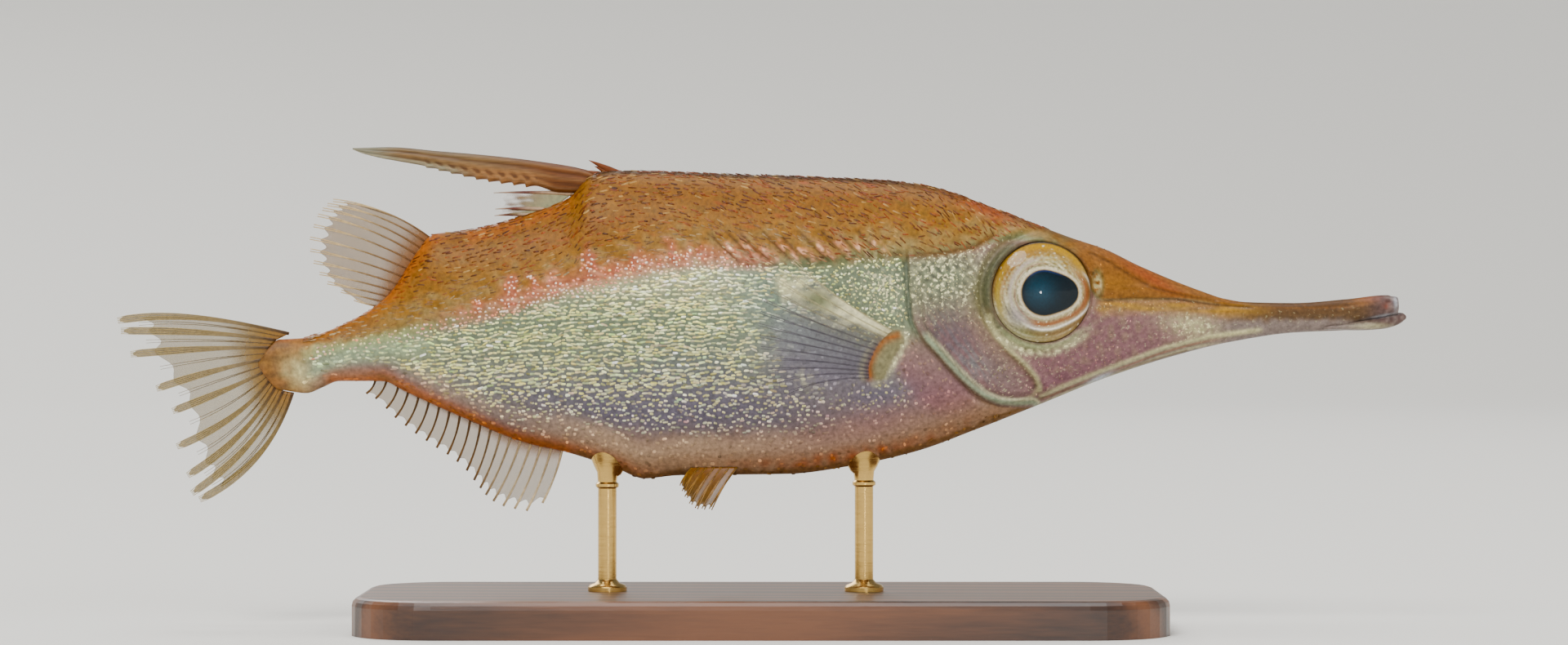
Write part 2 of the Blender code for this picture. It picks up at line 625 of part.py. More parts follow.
def make_median_fins():
    """Spiny and soft dorsal fins, anal fin and tail fin, all in the middle plane."""
    fin(
        "dorsal_fin_spiny",
        OnOutline(4, -20.9, -26.0, back, GAP + 0.15),
        RayLine(4, [(-25.4, 46.9), (-28.5, 46.5), (-28.4, 44.9), (-29.0, 44.35)]),
        np.zeros_like, 0.55, 4, PINK, web=0.25, ray=0.4,
    )
    fin(
        "dorsal_fin_soft",
        OnOutline(SOFT_DORSAL_RAYS, -35.6, -40.9, back, GAP),
        RayLine(SOFT_DORSAL_RAYS, [(-45.9, 45.9), (-47.4, 44.5), (-48.4, 41.2), (-47.2, 37.8), (-43.6, 35.3)]),
        smooth_line([(0, -0.85), (6, -0.2), (11, 0.15)]),
        0.82, 6, AMBER,
    )
    feet = OnOutline(ANAL_RAYS, -21.4, -41.3, belly, -GAP)
    tips = LeaningTips(feet, ANAL_REACH, ANAL_LEAN)
    fin("anal_fin", feet, tips, lambda n: np.full(np.shape(n), 0.12), 0.85, 5, AMBER)
    tail_bow = smooth_line([(0, -1.2), (6, 0.0), (11, 1.5)])
    fin(
        "caudal_fin", TailFeet(TAIL_RAYS), RayLine(TAIL_RAYS, TAIL_TIPS), tail_bow, 0.82, 7, AMBER,
        spread=0.3,
    )


def make_paired_fins():
    """Pectoral fins standing a little off the flanks, and small pelvic fins beside the keel."""

    def beside_keel(x):
        return under_side(x, np.full(np.shape(x), PELVIC_SPREAD - RAY)) - 0.1

    for hand, word in ((1, "left"), (-1, "right")):

        def off_flank(x, z, share, hand=hand):
            stand_off = GAP + WEB + 0.15 + PECTORAL_ROOT * (1 - ramp(share, 0.05, 0.3))
            return hand * (flank(x, z) + stand_off + PECTORAL_FLARE * share**1.6)

        fin(
            "pectoral_fin_" + word,
            RayLine(PECTORAL_RAYS, [(15.3, 31.7), (14.6, 29.4), (13.3, 27.6), (11.8, 26.4)]),
            RayLine(PECTORAL_RAYS, PECTORAL_TIPS),
            smooth_line([(0, 0.3), (5, 0.0), (10, -0.5)]),
            0.93, 5, AMBER, lie=off_flank, root=PECTORAL_ROOT,
        )

        def off_keel(x, z, share, hand=hand):
            return hand * (PELVIC_SPREAD + 1.9 * share)

        fin(
            "pelvic_fin_" + word,
            OnOutline(PELVIC_RAYS, -2.3, -7.6, beside_keel, -GAP),
            RayLine(PELVIC_RAYS, [(-5.4, 12.9), (-6.9, 13.0), (-8.0, 14.2), (-8.5, 15.4)]),
            lambda n: np.full(np.shape(n), -0.15), 0.9, 4, AMBER, lie=off_keel,
        )


def make_stand():
    """A flat wooden base and two short metal rods up to the belly."""
    shape = bmesh.new()
    bmesh.ops.create_cube(shape, size=1.0)
    bmesh.ops.scale(shape, vec=(MM * BASE_LENGTH, MM * BASE_DEPTH, MM * BASE_HEIGHT), verts=shape.verts)
    bmesh.ops.translate(shape, vec=(0, 0, MM * BASE_HEIGHT / 2), verts=shape.verts)
    upright = [e for e in shape.edges if abs(e.verts[0].co.z - e.verts[1].co.z) > MM]
    bmesh.ops.bevel(shape, geom=upright, offset=MM * BASE_CORNER, segments=8, profile=0.5, affect="EDGES")
    rim = [e for e in shape.edges if min(v.co.z for v in e.verts) > MM * (BASE_HEIGHT - 0.01)]
    bmesh.ops.bevel(shape, geom=rim, offset=MM * BASE_BEVEL, segments=3, profile=0.5, affect="EDGES")
    mesh = bpy.data.meshes.new("stand_base")
    shape.to_mesh(mesh)
    shape.free()
    make_object("stand_base", mesh, (0.12, 0.06, 0.03), roughness=0.5)
    around = 20
    angle = math.pi / 2 + 2 * math.pi * np.arange(around) / around
    for name, at in ROD_FEET.items():
        x, y = at + ROD_RADIUS * np.cos(angle), ROD_RADIUS * np.sin(angle)
        top = under_side(x, y) - GAP
        points = [*zip(x, y, np.full(around, BASE_HEIGHT + GAP)), *zip(x, y, top)]
        make_object(name, mesh_from(name, points, tube_faces(2, around)), (0.72, 0.6, 0.35), 0.25, 1.0)


def main():
    for old in list(bpy.data.objects):
        bpy.data.objects.remove(old, do_unlink=True)
    make_body()
    make_lower_jaw()
    make_long_spine()
    make_small_spine()
    make_median_fins()
    make_paired_fins()
    make_stand()
    for tool in [o for o in bpy.data.objects if o.hide_render]:
        bpy.data.objects.remove(tool, do_unlink=True)


main()
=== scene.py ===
"""Longspine snipefish, a life-size museum model on a display stand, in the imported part's frame.

The fish looks towards +X with its left side at +Y. Lengths in the sections are millimetres until
a mesh is made; the studio round the model is in metres.
"""

import math

import bpy
import numpy as np
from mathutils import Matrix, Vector


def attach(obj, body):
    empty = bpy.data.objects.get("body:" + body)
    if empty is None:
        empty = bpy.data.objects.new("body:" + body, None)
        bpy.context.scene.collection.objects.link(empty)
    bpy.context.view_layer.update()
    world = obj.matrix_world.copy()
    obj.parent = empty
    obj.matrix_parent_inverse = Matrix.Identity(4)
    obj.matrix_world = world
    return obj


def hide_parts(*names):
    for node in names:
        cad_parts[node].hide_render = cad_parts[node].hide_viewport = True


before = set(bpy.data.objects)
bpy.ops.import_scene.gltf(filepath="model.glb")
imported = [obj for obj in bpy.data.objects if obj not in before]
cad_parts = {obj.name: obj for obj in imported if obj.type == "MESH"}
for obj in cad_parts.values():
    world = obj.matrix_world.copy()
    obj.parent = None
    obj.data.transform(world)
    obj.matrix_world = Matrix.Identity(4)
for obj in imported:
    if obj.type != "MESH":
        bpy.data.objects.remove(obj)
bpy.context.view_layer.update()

# Body form
# The cast body of the model: a deep, strongly flattened fish drawn from its side outline, its
# width and the fullness of its sections, all read along the length.
MM = 0.001
BACK = [
    (68.2, 35.3), (67.0, 35.75), (62.6, 35.3), (57.0, 34.9), (52.0, 35.0), (49.7, 35.35),
    (47.1, 36.2), (40.5, 38.9), (36.8, 40.7), (33.1, 41.95), (25.7, 44.8), (18.4, 47.35),
    (13.5, 48.05), (-1.9, 48.7), (-15.6, 49.1), (-18.2, 48.7), (-20.5, 46.3), (-24.6, 44.6),
    (-31.8, 42.7), (-35.2, 42.3), (-36.8, 40.5), (-39.3, 36.6), (-40.9, 34.9), (-46.8, 31.9),
    (-49.6, 31.2), (-53.0, 31.0),
]
BELLY = [
    (68.2, 32.3), (63.7, 32.0), (57.0, 31.7), (50.0, 30.65), (44.2, 29.2), (36.8, 26.8),
    (29.4, 23.8), (23.2, 21.35), (16.5, 18.9), (9.8, 17.4), (3.0, 16.5), (-8.9, 16.35),
    (-12.6, 16.0), (-15.3, 17.0), (-21.1, 18.9), (-24.7, 19.7), (-31.8, 22.5), (-38.2, 25.4),
    (-40.5, 26.5), (-45.3, 26.5), (-47.5, 25.8), (-49.6, 25.2), (-53.0, 25.6),
]
HALF_WIDTH = [
    (68.2, 1.5), (66.0, 1.55), (60.0, 1.25), (52.0, 1.45), (47.0, 2.2), (40.5, 3.35),
    (34.9, 4.3), (29.4, 4.95), (22.0, 5.75), (14.0, 6.2), (6.0, 6.35), (-6.0, 6.1),
    (-16.0, 5.5), (-26.0, 4.4), (-36.0, 2.9), (-42.0, 1.85), (-48.0, 1.35), (-53.0, 0.8),
]
WIDEST_AT = [
    (68.2, 0.5), (50.0, 0.52), (40.0, 0.5), (29.4, 0.57), (14.0, 0.56), (-20.0, 0.52), (-53.0, 0.5),
]
BACK_POWER = [(68.2, 2.2), (45.0, 2.2), (33.0, 3.0), (24.0, 2.7), (12.0, 2.2), (-53.0, 2.0)]
BELLY_POWER = [(68.2, 2.2), (45.0, 2.0), (28.0, 2.2), (0.0, 2.3), (-30.0, 2.0), (-53.0, 2.0)]
BELLY_EDGE = [
    (68.2, 2.0), (46.0, 1.8), (34.0, 1.45), (10.0, 1.35), (-15.0, 1.45), (-40.0, 1.8), (-53.0, 2.0),
]
MOUTH_LINE = [(62.4, 31.9), (63.8, 32.75), (66.0, 33.15), (68.4, 33.85)]
EYE_X, EYE_Z = 29.75, 35.95
SCALE_DEPTH = 0.07  # the skin lies this far inside the outline, to leave room for the scales


def line_through(points):
    """A monotone cubic through (x, value) points: each slope is the weighted harmonic mean of
    the two beside it, and 0 at a peak or a dip, so the line never overshoots."""
    xs, values = np.array(sorted(points), float).T
    widths = np.diff(xs)
    slopes = np.diff(values) / widths
    tangents = np.concatenate([slopes[:1], np.zeros(len(xs) - 2), slopes[-1:]])
    for k in range(1, len(xs) - 1):
        before, after = slopes[k - 1], slopes[k]
        if before * after > 0:
            w1, w2 = 2 * widths[k] + widths[k - 1], widths[k] + 2 * widths[k - 1]
            tangents[k] = (w1 + w2) / (w1 / before + w2 / after)

    def line(x):
        x = np.clip(np.asarray(x, float), xs[0], xs[-1])
        k = np.clip(np.searchsorted(xs, x) - 1, 0, len(xs) - 2)
        h = widths[k]
        s = (x - xs[k]) / h
        start = values[k] * (1 + 2 * s) * (1 - s) ** 2 + tangents[k] * h * s * (1 - s) ** 2
        end = values[k + 1] * s * s * (3 - 2 * s) + tangents[k + 1] * h * s * s * (s - 1)
        return start + end

    return line


def near(distance, width):
    """1 at no distance, falling as a bell curve to 1/e at one width."""
    return np.exp(-((distance / width) ** 2))


def ramp(value, start, end):
    """0 before start, 1 after end, and a smooth step between them."""
    s = np.clip((value - start) / (end - start), 0, 1)
    return s * s * (3 - 2 * s)


def from_line(x, z, points):
    """Distance of each (x, z) from the nearest stretch of a broken line."""
    nearest = np.full(np.shape(x), np.inf)
    for (x0, z0), (x1, z1) in zip(points, points[1:]):
        dx, dz = x1 - x0, z1 - z0
        along = np.clip(((x - x0) * dx + (z - z0) * dz) / (dx * dx + dz * dz), 0, 1)
        nearest = np.minimum(nearest, np.hypot(x - x0 - along * dx, z - z0 - along * dz))
    return nearest


back, belly, mouth_line = line_through(BACK), line_through(BELLY), line_through(MOUTH_LINE)
half_width, widest_at = line_through(HALF_WIDTH), line_through(WIDEST_AT)
back_power, belly_power = line_through(BACK_POWER), line_through(BELLY_POWER)
belly_edge = line_through(BELLY_EDGE)


def underside(x):
    """Lower outline: the belly, and the mouth's line above the lower jaw."""
    return np.where(x > MOUTH_LINE[0][0], np.maximum(belly(x), mouth_line(x)), belly(x))


def mid_height(x):
    return underside(x) + widest_at(x) * (back(x) - underside(x))


def height_at(x, t):
    """Height of section place t, from -1 on the keel through 0 at the widest to 1 on the ridge."""
    middle = mid_height(x)
    return middle + np.where(t > 0, (back(x) - middle) * t, (middle - underside(x)) * t)


def place_at(x, z):
    """The section place t of a height, the inverse of height_at."""
    middle = mid_height(x)
    above, below = back(x) - middle, middle - underside(x)
    return np.clip(np.where(z > middle, (z - middle) / above, (z - middle) / below), -1, 1)


# Folds of the head and flank
# The gill slit with its pale flap, the gill cover's plates, cheek and jaw ridges, the grooves of
# the snout, the sheath folds of the nape and the fleshy pectoral lobe, as lines on the side view.
GILL_SLIT = [
    (15.4, 41.0), (15.6, 37.9), (15.8, 34.8), (16.0, 33.0), (17.1, 30.8), (18.8, 29.0), (20.5, 27.1),
    (22.1, 25.6), (23.6, 24.5), (25.3, 23.8), (27.2, 23.6), (28.9, 23.7),
]
GILL_PLATE = [
    (19.5, 37.6), (18.3, 37.5), (17.3, 37.0), (16.9, 35.4), (17.3, 32.6), (18.9, 30.1), (21.3, 27.4),
    (23.6, 25.5), (26.2, 24.6), (28.3, 24.9), (29.3, 26.1),
]
CHEEK_RIDGE = [(24.1, 33.4), (24.9, 31.5), (26.4, 29.8), (28.1, 28.3), (29.3, 26.9), (29.7, 25.6)]
JAW_RIDGE = [
    (29.9, 24.9), (32.3, 26.0), (35.8, 27.4), (39.3, 28.7), (42.8, 30.0), (47.9, 31.3), (53.2, 32.0),
]
THROAT_FOLDS = [
    [(24.0, 22.6), (28.9, 23.6), (32.2, 24.9), (35.7, 26.2), (40.1, 27.7), (44.4, 29.1)],
    [(28.6, 24.3), (32.4, 25.5), (36.5, 27.0), (41.0, 28.5), (45.5, 29.8)],
]
SNOUT_GROOVE = [(36.4, 35.1), (39.7, 35.45), (44.2, 35.3), (47.9, 34.75), (52.3, 34.4)]
NOSE_RIDGE = [(35.0, 40.3), (37.0, 39.3), (39.2, 37.9), (41.5, 36.6), (44.4, 35.8), (48.5, 35.1)]
BROW_LINE = [(12.9, 40.0), (15.6, 39.9), (19.1, 40.1), (22.6, 40.8), (24.7, 42.0)]
NAPE_STREAKS = [
    [(start, 42.2 + lift), (start + 1.3, 40.8 + lift), (start + 2.9, 39.4)]
    for start, lift in (
        (-5.4, 0.0), (-3.7, 0.3), (-2.0, -0.2), (0.2, 0.2), (2.2, -0.3), (4.2, 0.1), (6.3, 0.4),
        (8.3, 0.0), (10.2, 0.3),
    )
]
LOBE = [(14.2, 31.0), (13.2, 29.4), (12.4, 27.6)]
LOBE_EDGE = [(15.2, 31.6), (15.1, 30.6), (14.4, 29.2), (13.1, 27.3), (12.2, 26.4)]
PECTORAL_FOOT = [(14.4, 31.5), (12.9, 30.9), (11.9, 29.5), (11.4, 28.1), (11.5, 27.0)]
SOFT_FIN_FOOT = [
    (-35.1, 42.2), (-36.9, 40.2), (-38.7, 37.4), (-39.9, 35.7), (-42.2, 34.1), (-44.8, 32.9), (-47.5, 31.9),
]
ANAL_FIN_FOOT = [
    (-20.6, 19.0), (-25.6, 20.2), (-29.9, 21.8), (-34.3, 23.8), (-38.3, 25.7), (-41.5, 26.7), (-46.0, 26.7),
]
NOSTRIL, SMALL_NOSTRIL = (35.75, 36.9), (35.2, 38.0)

# Each plain fold or groove: its line, how far it stands out and its width
FOLDS = [
    ([(24.8, 32.0), (27.5, 29.0), (30.6, 25.9)], 0.3, 0.6),
    (GILL_PLATE, -0.14, 0.16), (CHEEK_RIDGE, 0.18, 0.28), (JAW_RIDGE, 0.14, 0.22),
    *((fold, -0.15, 0.17) for fold in THROAT_FOLDS),
    (SNOUT_GROOVE, -0.15, 0.2), (NOSE_RIDGE, -0.16, 0.25), (BROW_LINE, -0.12, 0.28),
    ([(35.5, 36.2), (41.5, 36.4), (49.0, 34.9)], 0.25, 0.5),
    ([(33.5, 29.5), (40.5, 31.5)], -0.3, 1.6),
    *(([(foot, 41.8), (foot + 4.2, 38.6)], 0.2, 0.55) for foot in (-1.5, 1.9, 5.3, 8.7)),
    *((streak, -0.08, 0.16) for streak in NAPE_STREAKS),
    (LOBE, 0.42, 1.15), (PECTORAL_FOOT, -0.2, 0.22),
    ([(65.0, 33.9), (66.8, 34.3), (67.9, 35.4)], -0.12, 0.25),
    ([(52.0, 33.3), (58.0, 33.2), (64.0, 33.1)], -0.1, 0.2),
]


def ahead_of_gill(x, z):
    """Distance from the gill slit, positive on the head's side of it."""
    edge = np.interp(z, [p[1] for p in GILL_SLIT[::-1]], [p[0] for p in GILL_SLIT[::-1]])
    return from_line(x, z, GILL_SLIT) * np.sign(x - edge)


def round_eye(x, z):
    """Distance and angle of each (x, z) from the middle of the eye."""
    return np.hypot(x - EYE_X, z - EYE_Z), np.arctan2(z - EYE_Z, x - EYE_X)


def relief(x, z):
    """How far the skin stands out of the smooth form: each fold, ridge and groove is a bell or a
    step of the distance from its line."""
    ring, angle = round_eye(x, z)
    behind = ramp(-np.cos(angle + 0.2), 0.0, 0.6)
    out = 0.45 * near(ring - 5.75, 0.5)
    out = out - 0.4 * near(ring - 6.45, 0.4) * behind + 0.14 * near(ring - 7.2, 0.35) * behind
    gill = ahead_of_gill(x, z)
    shown = ramp(z, 23.2, 24.6) * ramp(-z, -40.4, -39.4)
    flap = 0.4 * near(np.maximum(gill, 0), 2.4) * ramp(gill, -0.12, 0.08) - 0.28 * near(gill + 0.2, 0.24)
    low_edge = 0.14 * near(gill - 0.55, 0.3) - 0.16 * near(gill - 1.15, 0.18)
    out = out + shown * (flap + ramp(-z, -33.0, -31.5) * low_edge)
    for line, height, width in FOLDS:
        out = out + height * near(from_line(x, z, line), width)
    for at, size in ((NOSTRIL, 0.3), (SMALL_NOSTRIL, 0.22)):
        hole = np.hypot(x - at[0], z - at[1])
        out = out - 0.5 * near(hole, size) + 0.12 * near(hole - 1.7 * size, 0.15)
    return out


def side(x, t, detail=True):
    """Half width of the body: a power curve of t, fuller above and drawn to a keel below."""
    share = np.clip(np.abs(t), 0, 1)
    over = (1 - share ** back_power(x)) ** 0.5
    under = (1 - share ** belly_power(x)) ** (1 / belly_edge(x))
    wide = half_width(x) * np.where(t > 0, over, under)
    if detail:
        wide = wide + ramp(1 - share, 0.0, 0.2) * relief(x, height_at(x, t))
    return wide


# Paint
# Hand-laid colour over a pearly ground, as on a painted cast: orange-brown back, coral sheen,
# silver-green flank turning violet, pink belly, mauve cheeks and an amber-striped snout.
PAINTS = {
    "tan": "#8A5A0E", "brown": "#78490C", "ridge": "#3A2812", "rust": "#983A10", "coral": "#D8704C",
    "blush": "#FFBC94", "green": "#AEB678", "pearl": "#F0EAB0", "teal": "#88A092", "violet": "#847C74",
    "plum": "#645A68", "rose": "#9A7652", "pink": "#96745C", "orange": "#A8560A", "gold": "#6E4A0C",
    "mauve": "#8A565C", "lilac": "#946A62", "olive": "#4E4A18", "amber": "#B07E04", "snout": "#86541E",
    "grey": "#7B6A63", "lip": "#523E3A", "cream": "#D4CC90", "sea": "#9CB086", "umber": "#4A2E0C",
    "bark": "#583C1E", "steel": "#7E8484", "flesh": "#8C7644", "glint": "#D4DEE8", "bronze": "#5C5440",
    "moss": "#80743C", "lobe": "#7A7450", "ochre": "#7A4E22", "haze": "#76707C", "wine": "#5A3C48",
    "belly": "#BE9E7C", "sage": "#8C9468",
}


def linear(code):
    """The linear colour of an sRGB hex code."""
    s = np.array([int(code[k:k + 2], 16) for k in (1, 3, 5)]) / 255
    return np.where(s <= 0.04045, s / 12.92, ((s + 0.055) / 1.055) ** 2.4)


def mix(first, second, mask):
    """One colour turning to another as the mask goes from 0 to 1."""
    mask = np.clip(mask, 0, 1)[..., None]
    return first * (1 - mask) + second * mask


def blend(first, second, mask):
    """The same for two colour codes."""
    return mix(linear(first), linear(second), mask)


def layered(ground, layers):
    """A ground colour code with (code, mask) layers laid over it in turn."""
    colour = linear(ground)
    for code, mask in layers:
        colour = mix(colour, linear(code), mask)
    return colour


def wander(x, z, size, seed):
    """A smooth random field from about -1 to 1: waves of one length in 14 random directions."""
    draw = np.random.default_rng(seed)
    heading, phase = draw.uniform(0, 2 * math.pi, (2, 14))
    turns = 2 * math.pi / size * draw.uniform(0.7, 1.3, 14)
    total = sum(
        np.sin(k * (x * math.cos(a) + z * math.sin(a)) + p) for k, a, p in zip(turns, heading, phase)
    )
    return total / math.sqrt(14)


def blob(x, z, at, size, turn=0.0):
    """A bell-shaped oval patch, turned anticlockwise by some degrees."""
    c, s = math.cos(math.radians(turn)), math.sin(math.radians(turn))
    dx, dz = x - at[0], z - at[1]
    return np.exp(-(((dx * c + dz * s) / size[0]) ** 2) - ((dz * c - dx * s) / size[1]) ** 2)


CAP_LINE = line_through([
    (68.0, 34.9), (60.0, 34.3), (52.0, 34.35), (44.0, 35.3), (36.4, 35.2), (33.0, 39.0), (30.0, 41.2),
    (26.5, 41.6), (23.9, 41.1), (19.9, 40.1), (15.6, 39.7), (11.2, 39.5), (6.8, 39.0), (-0.2, 39.0),
    (-6.3, 39.3), (-11.6, 38.4), (-16.4, 36.9), (-20.3, 36.1), (-24.5, 34.9), (-30.6, 33.5),
    (-36.6, 32.0), (-41.3, 30.9), (-44.8, 30.2), (-53.0, 28.6),
])
CORAL_LINE = [
    (-37.0, 32.4), (-29.1, 34.4), (-24.7, 35.9), (-20.3, 37.4), (-16.4, 38.4), (-11.6, 39.4), (-6.3, 40.1),
    (-1.0, 39.9),
]
jaw_ridge = line_through(JAW_RIDGE)


def moved(line, dx, dz=0.0):
    """A broken line without its first point, shifted a little."""
    return [(px + dx, pz + dz) for px, pz in line[1:]]


def paint(x, z):
    """Paint at places of the side view: broad zones by soft steps across the lines between them,
    then patches, streaks and spots over those. Gives the colour, the pearly shine, how strongly
    scales stand out of their ground, and how densely pearl specks lie."""
    tint = {name: linear(code) for name, code in PAINTS.items()}
    layer = {
        "colour": np.broadcast_to(tint["rose"], (*np.shape(x), 3)).copy(),
        "shine": np.full(np.shape(x), 0.2),
        "contrast": np.full(np.shape(x), 0.35),
        "specks": np.zeros(np.shape(x)),
    }

    def spot(at, size, turn=0.0):
        return blob(x, z, at, size, turn)

    def stroke(line, width):
        return near(from_line(x, z, line), width)

    def lay(name, mask, **others):
        mask = np.clip(mask, 0, 1)
        layer["colour"] = mix(layer["colour"], tint[name], mask)
        for key, value in others.items():
            layer[key] = layer[key] * (1 - mask) + value * mask

    broad, fine = wander(x, z, 6.0, 3), wander(x, z, 1.6, 5)
    speck = wander(x, z, 0.75, 9)
    keel = z - belly(x)
    # Flank from the keel up
    lay("pink", 0.7 * ramp(keel, 0.8, 3.0))
    lay("violet", ramp(z + 0.4 * broad + 0.3 * fine, 19.0, 23.5), shine=0.4, contrast=1.0)
    lay("green", ramp(z + 0.5 * broad + 0.2 * fine - 0.04 * x, 22.5, 31.0), shine=0.5, contrast=0.9)
    lay("pearl", 0.8 * ramp(z + 0.6 * fine, 33.0, 37.5) * ramp(-x, -4.0, 4.0), contrast=0.65)
    lay("teal", 0.75 * spot((1.0, 35.8), (6.0, 4.6), -35), contrast=0.5)
    lay("steel", 0.4 * spot((-6.0, 28.3), (9.0, 3.6)))
    lay("violet", 0.6 * spot((8.0, 25.6), (9.0, 3.4), 12), contrast=0.6)
    veil = ramp(spot((7.2, 28.6), (9.4, 4.8), -12) + 0.06 * fine, 0.12, 0.95)
    lay("haze", 0.95 * veil, shine=0.2, contrast=0.1)
    lay("plum", 0.5 * spot((3.0, 26.6), (3.0, 1.8)), contrast=0.4)
    lay("steel", 0.85 * spot((4.0, 31.9), (5.0, 2.0), -22), shine=0.3, contrast=0.15)
    lay("green", 0.75 * ramp(-x, 32.0, 42.0) * ramp(keel, 2.2, 4.5), shine=0.4, contrast=0.4)
    low_belly = ramp(-keel + 0.3 * broad, -5.6, -3.0) * ramp(x, -30.0, -16.0)
    lay("belly", 0.9 * low_belly, shine=0.15, contrast=0.14)
    lay("lilac", 0.8 * spot((13.0, 22.6), (12.0, 3.0), 14), shine=0.2, contrast=0.12)
    lay("mauve", 0.8 * ramp(spot((18.4, 27.0), (6.8, 3.6), -45), 0.25, 0.7), shine=0.2, contrast=0.14)
    lay("haze", 0.8 * spot((12.4, 25.2), (3.4, 1.2), 8), shine=0.3, contrast=0.6)
    lay("pink", 0.7 * spot((20.0, 22.0), (8.0, 2.2), 22), shine=0.1, contrast=0.1)
    lay("grey", ramp(-x, 24.0, 32.0) * ramp(-keel, -3.6, -1.6), shine=0.3, contrast=0.2)
    lay("rose", 0.7 * ramp(-keel, -3.4, -1.2) * ramp(x, -26.0, -14.0), shine=0.1, contrast=0.1)
    lay("orange", 0.9 * near(keel - 1.2, 0.8) * near(x - 9.0, 10.0) * (0.75 + 0.4 * fine), contrast=0.2)
    pale = near(keel - 2.6, 1.3) * ramp(-x, 14.0, 21.0) * ramp(x, -40.0, -34.0)
    lay("belly", 0.6 * pale * (0.9 + 0.2 * fine), shine=0.3, contrast=0.4)
    lay("orange", 0.75 * near(keel - 0.6, 0.9) * ramp(-x, 9.0, 16.0), contrast=0.2)
    lay("gold", 0.85 * ramp(-keel + 0.15 * fine, -1.0, -0.4), contrast=0.1)
    # Brown back above the cap line
    over = z - CAP_LINE(x)
    cap = ramp(over + 0.25 * fine, -0.2, 1.3) * (x < 36.0)
    lay("tan", cap, shine=0.06, contrast=0.1, specks=0.0)
    lay("brown", cap * 0.7 * ramp(over + 0.7 * broad, 2.5, 7.0))
    lay("tan", cap * 0.5 * ramp(wander(x, z * 2.2, 5.0, 11), 0.3, 1.4))
    patches = wander(0.7 * x + 0.5 * z, 1.6 * z, 2.4, 22)
    bare = ramp(0.55 * patches + 0.4 * fine - 0.43 * over, -2.1, 0.4) * ramp(x, -50.0, -36.0)
    lay("flesh", cap * 0.85 * bare)
    lay("olive", cap * 0.25 * ramp(-patches + 0.2 * fine, 0.2, 1.5))
    reddish = ramp(wander(x * 0.6, z * 1.5, 1.5, 12), 0.9, 1.9) * ramp(over, 1.5, 4.0)
    reddish = reddish * ramp(x, -34.0, -20.0)
    lay("rust", cap * 0.5 * reddish)
    # Darker along the top edge of the back: painted shade
    lay("umber", 0.6 * ramp(z - back(x), -1.1, -0.2) * ramp(x, 8.0, 15.0) * (x < 48.0))
    lay("ridge", 0.85 * ramp(z - back(x), -0.7, -0.2) * ramp(-x, -18.0, -12.0) * ramp(x, -20.0, -17.0))
    lay("brown", 0.6 * ramp(-x, 20.0, 26.0) * ramp(z - back(x), -2.0, -0.3) * ramp(x, -36.0, -34.0))
    hind_edge = [(-21.0, 45.4), (-25.0, 43.8), (-31.0, 42.0)]
    lay("orange", 0.75 * stroke(hind_edge, 0.8) * (0.8 + 0.3 * fine))
    # Coral sheen, in upright bars along the cap line
    up = z - np.interp(x, *zip(*CORAL_LINE))
    bars = ramp(np.sin(2.3 * x + 0.3 * up + 1.7 * wander(x, z * 0.3, 6.0, 21)) + 0.25 * fine, -0.4, 0.8)
    tall = bars * (0.8 + 0.45 * wander(x, 0.2 * z, 7.0, 24)) * ramp(-x, 5.0, 12.0) * ramp(x, -35.0, -24.0)
    sheen = ramp(up, -1.9, -0.9) * ramp(0.9 + 1.9 * tall - up, -0.6, 1.3)
    sheen = sheen * ramp(x, -38.0, -27.0) * ramp(-x, -2.5, 0.5)
    lay("coral", sheen * (0.65 + 0.35 * bars) * (0.9 + 0.25 * fine), shine=0.4, contrast=0.8)
    lay("blush", sheen * 0.7 * ramp(speck + 0.6 * bars - 0.5 * up, 0.2, 1.5), shine=0.5)
    for streak in NAPE_STREAKS:
        beside = moved(streak, 0.55, 0.1)
        lay("coral", 0.55 * stroke(beside, 0.45) * ramp(speck + fine, -1.2, 0.6), shine=0.2)
        lay("blush", stroke(beside, 0.24) * ramp(speck + 0.6 * fine, -0.3, 0.6), shine=0.3)
        lay("umber", 0.8 * stroke(streak, 0.18), shine=0.1)
    lay("umber", 0.6 * stroke([(-2.5, 39.0), (1.8, 38.9)], 0.25))
    lay("olive", 0.55 * stroke([(4.0, 38.9), (9.0, 39.6), (15.0, 39.9)], 0.5))
    # Head
    gill = ahead_of_gill(x, z)
    ring, angle = round_eye(x, z)
    head = ramp(gill, -0.1, 0.15) * (x > 15.0)
    low_head = head * ramp(-over, -0.3, 0.3)
    lay("lilac", low_head, shine=0.3, contrast=0.3, specks=0.25)
    lay("mauve", low_head * spot((20.3, 31.8), (4.8, 2.4), -55), specks=0.03)
    streak = wander(0.4 * (x - 1.2 * z), 1.5 * (1.2 * x + z), 1.5, 14)
    lay("plum", 0.75 * low_head * spot((19.6, 31.9), (4.0, 1.9), -55) * ramp(streak, -0.4, 0.6))
    lay("wine", 0.6 * low_head * spot((20.4, 32.0), (3.0, 3.0)), specks=0.03)
    lay("steel", 0.7 * low_head * spot((22.6, 28.4), (2.4, 1.2), -48) * ramp(streak, -0.9, 0.5))
    behind_cheek = [(22.6, 34.0), (24.0, 31.2), (26.3, 28.6)]
    lay("pink", 0.7 * low_head * stroke(behind_cheek, 1.0), specks=0.1)
    lay("grey", 0.55 * low_head * spot((25.2, 27.3), (3.4, 1.7), -42))
    crumble = wander(x, 1.3 * z, 0.95, 17)
    gloss = low_head * spot((19.0, 37.6), (5.0, 3.2))
    lay("sage", gloss, shine=0.4, contrast=0.5, specks=0.75)
    lay("pearl", 0.8 * gloss * ramp(crumble + 0.3 * fine + 0.1 * (z - 37.6), 0.2, 1.1), shine=0.5)
    lay("bronze", 0.9 * gloss * ramp(-crumble, 0.0, 0.7), shine=0.2, specks=0.2)
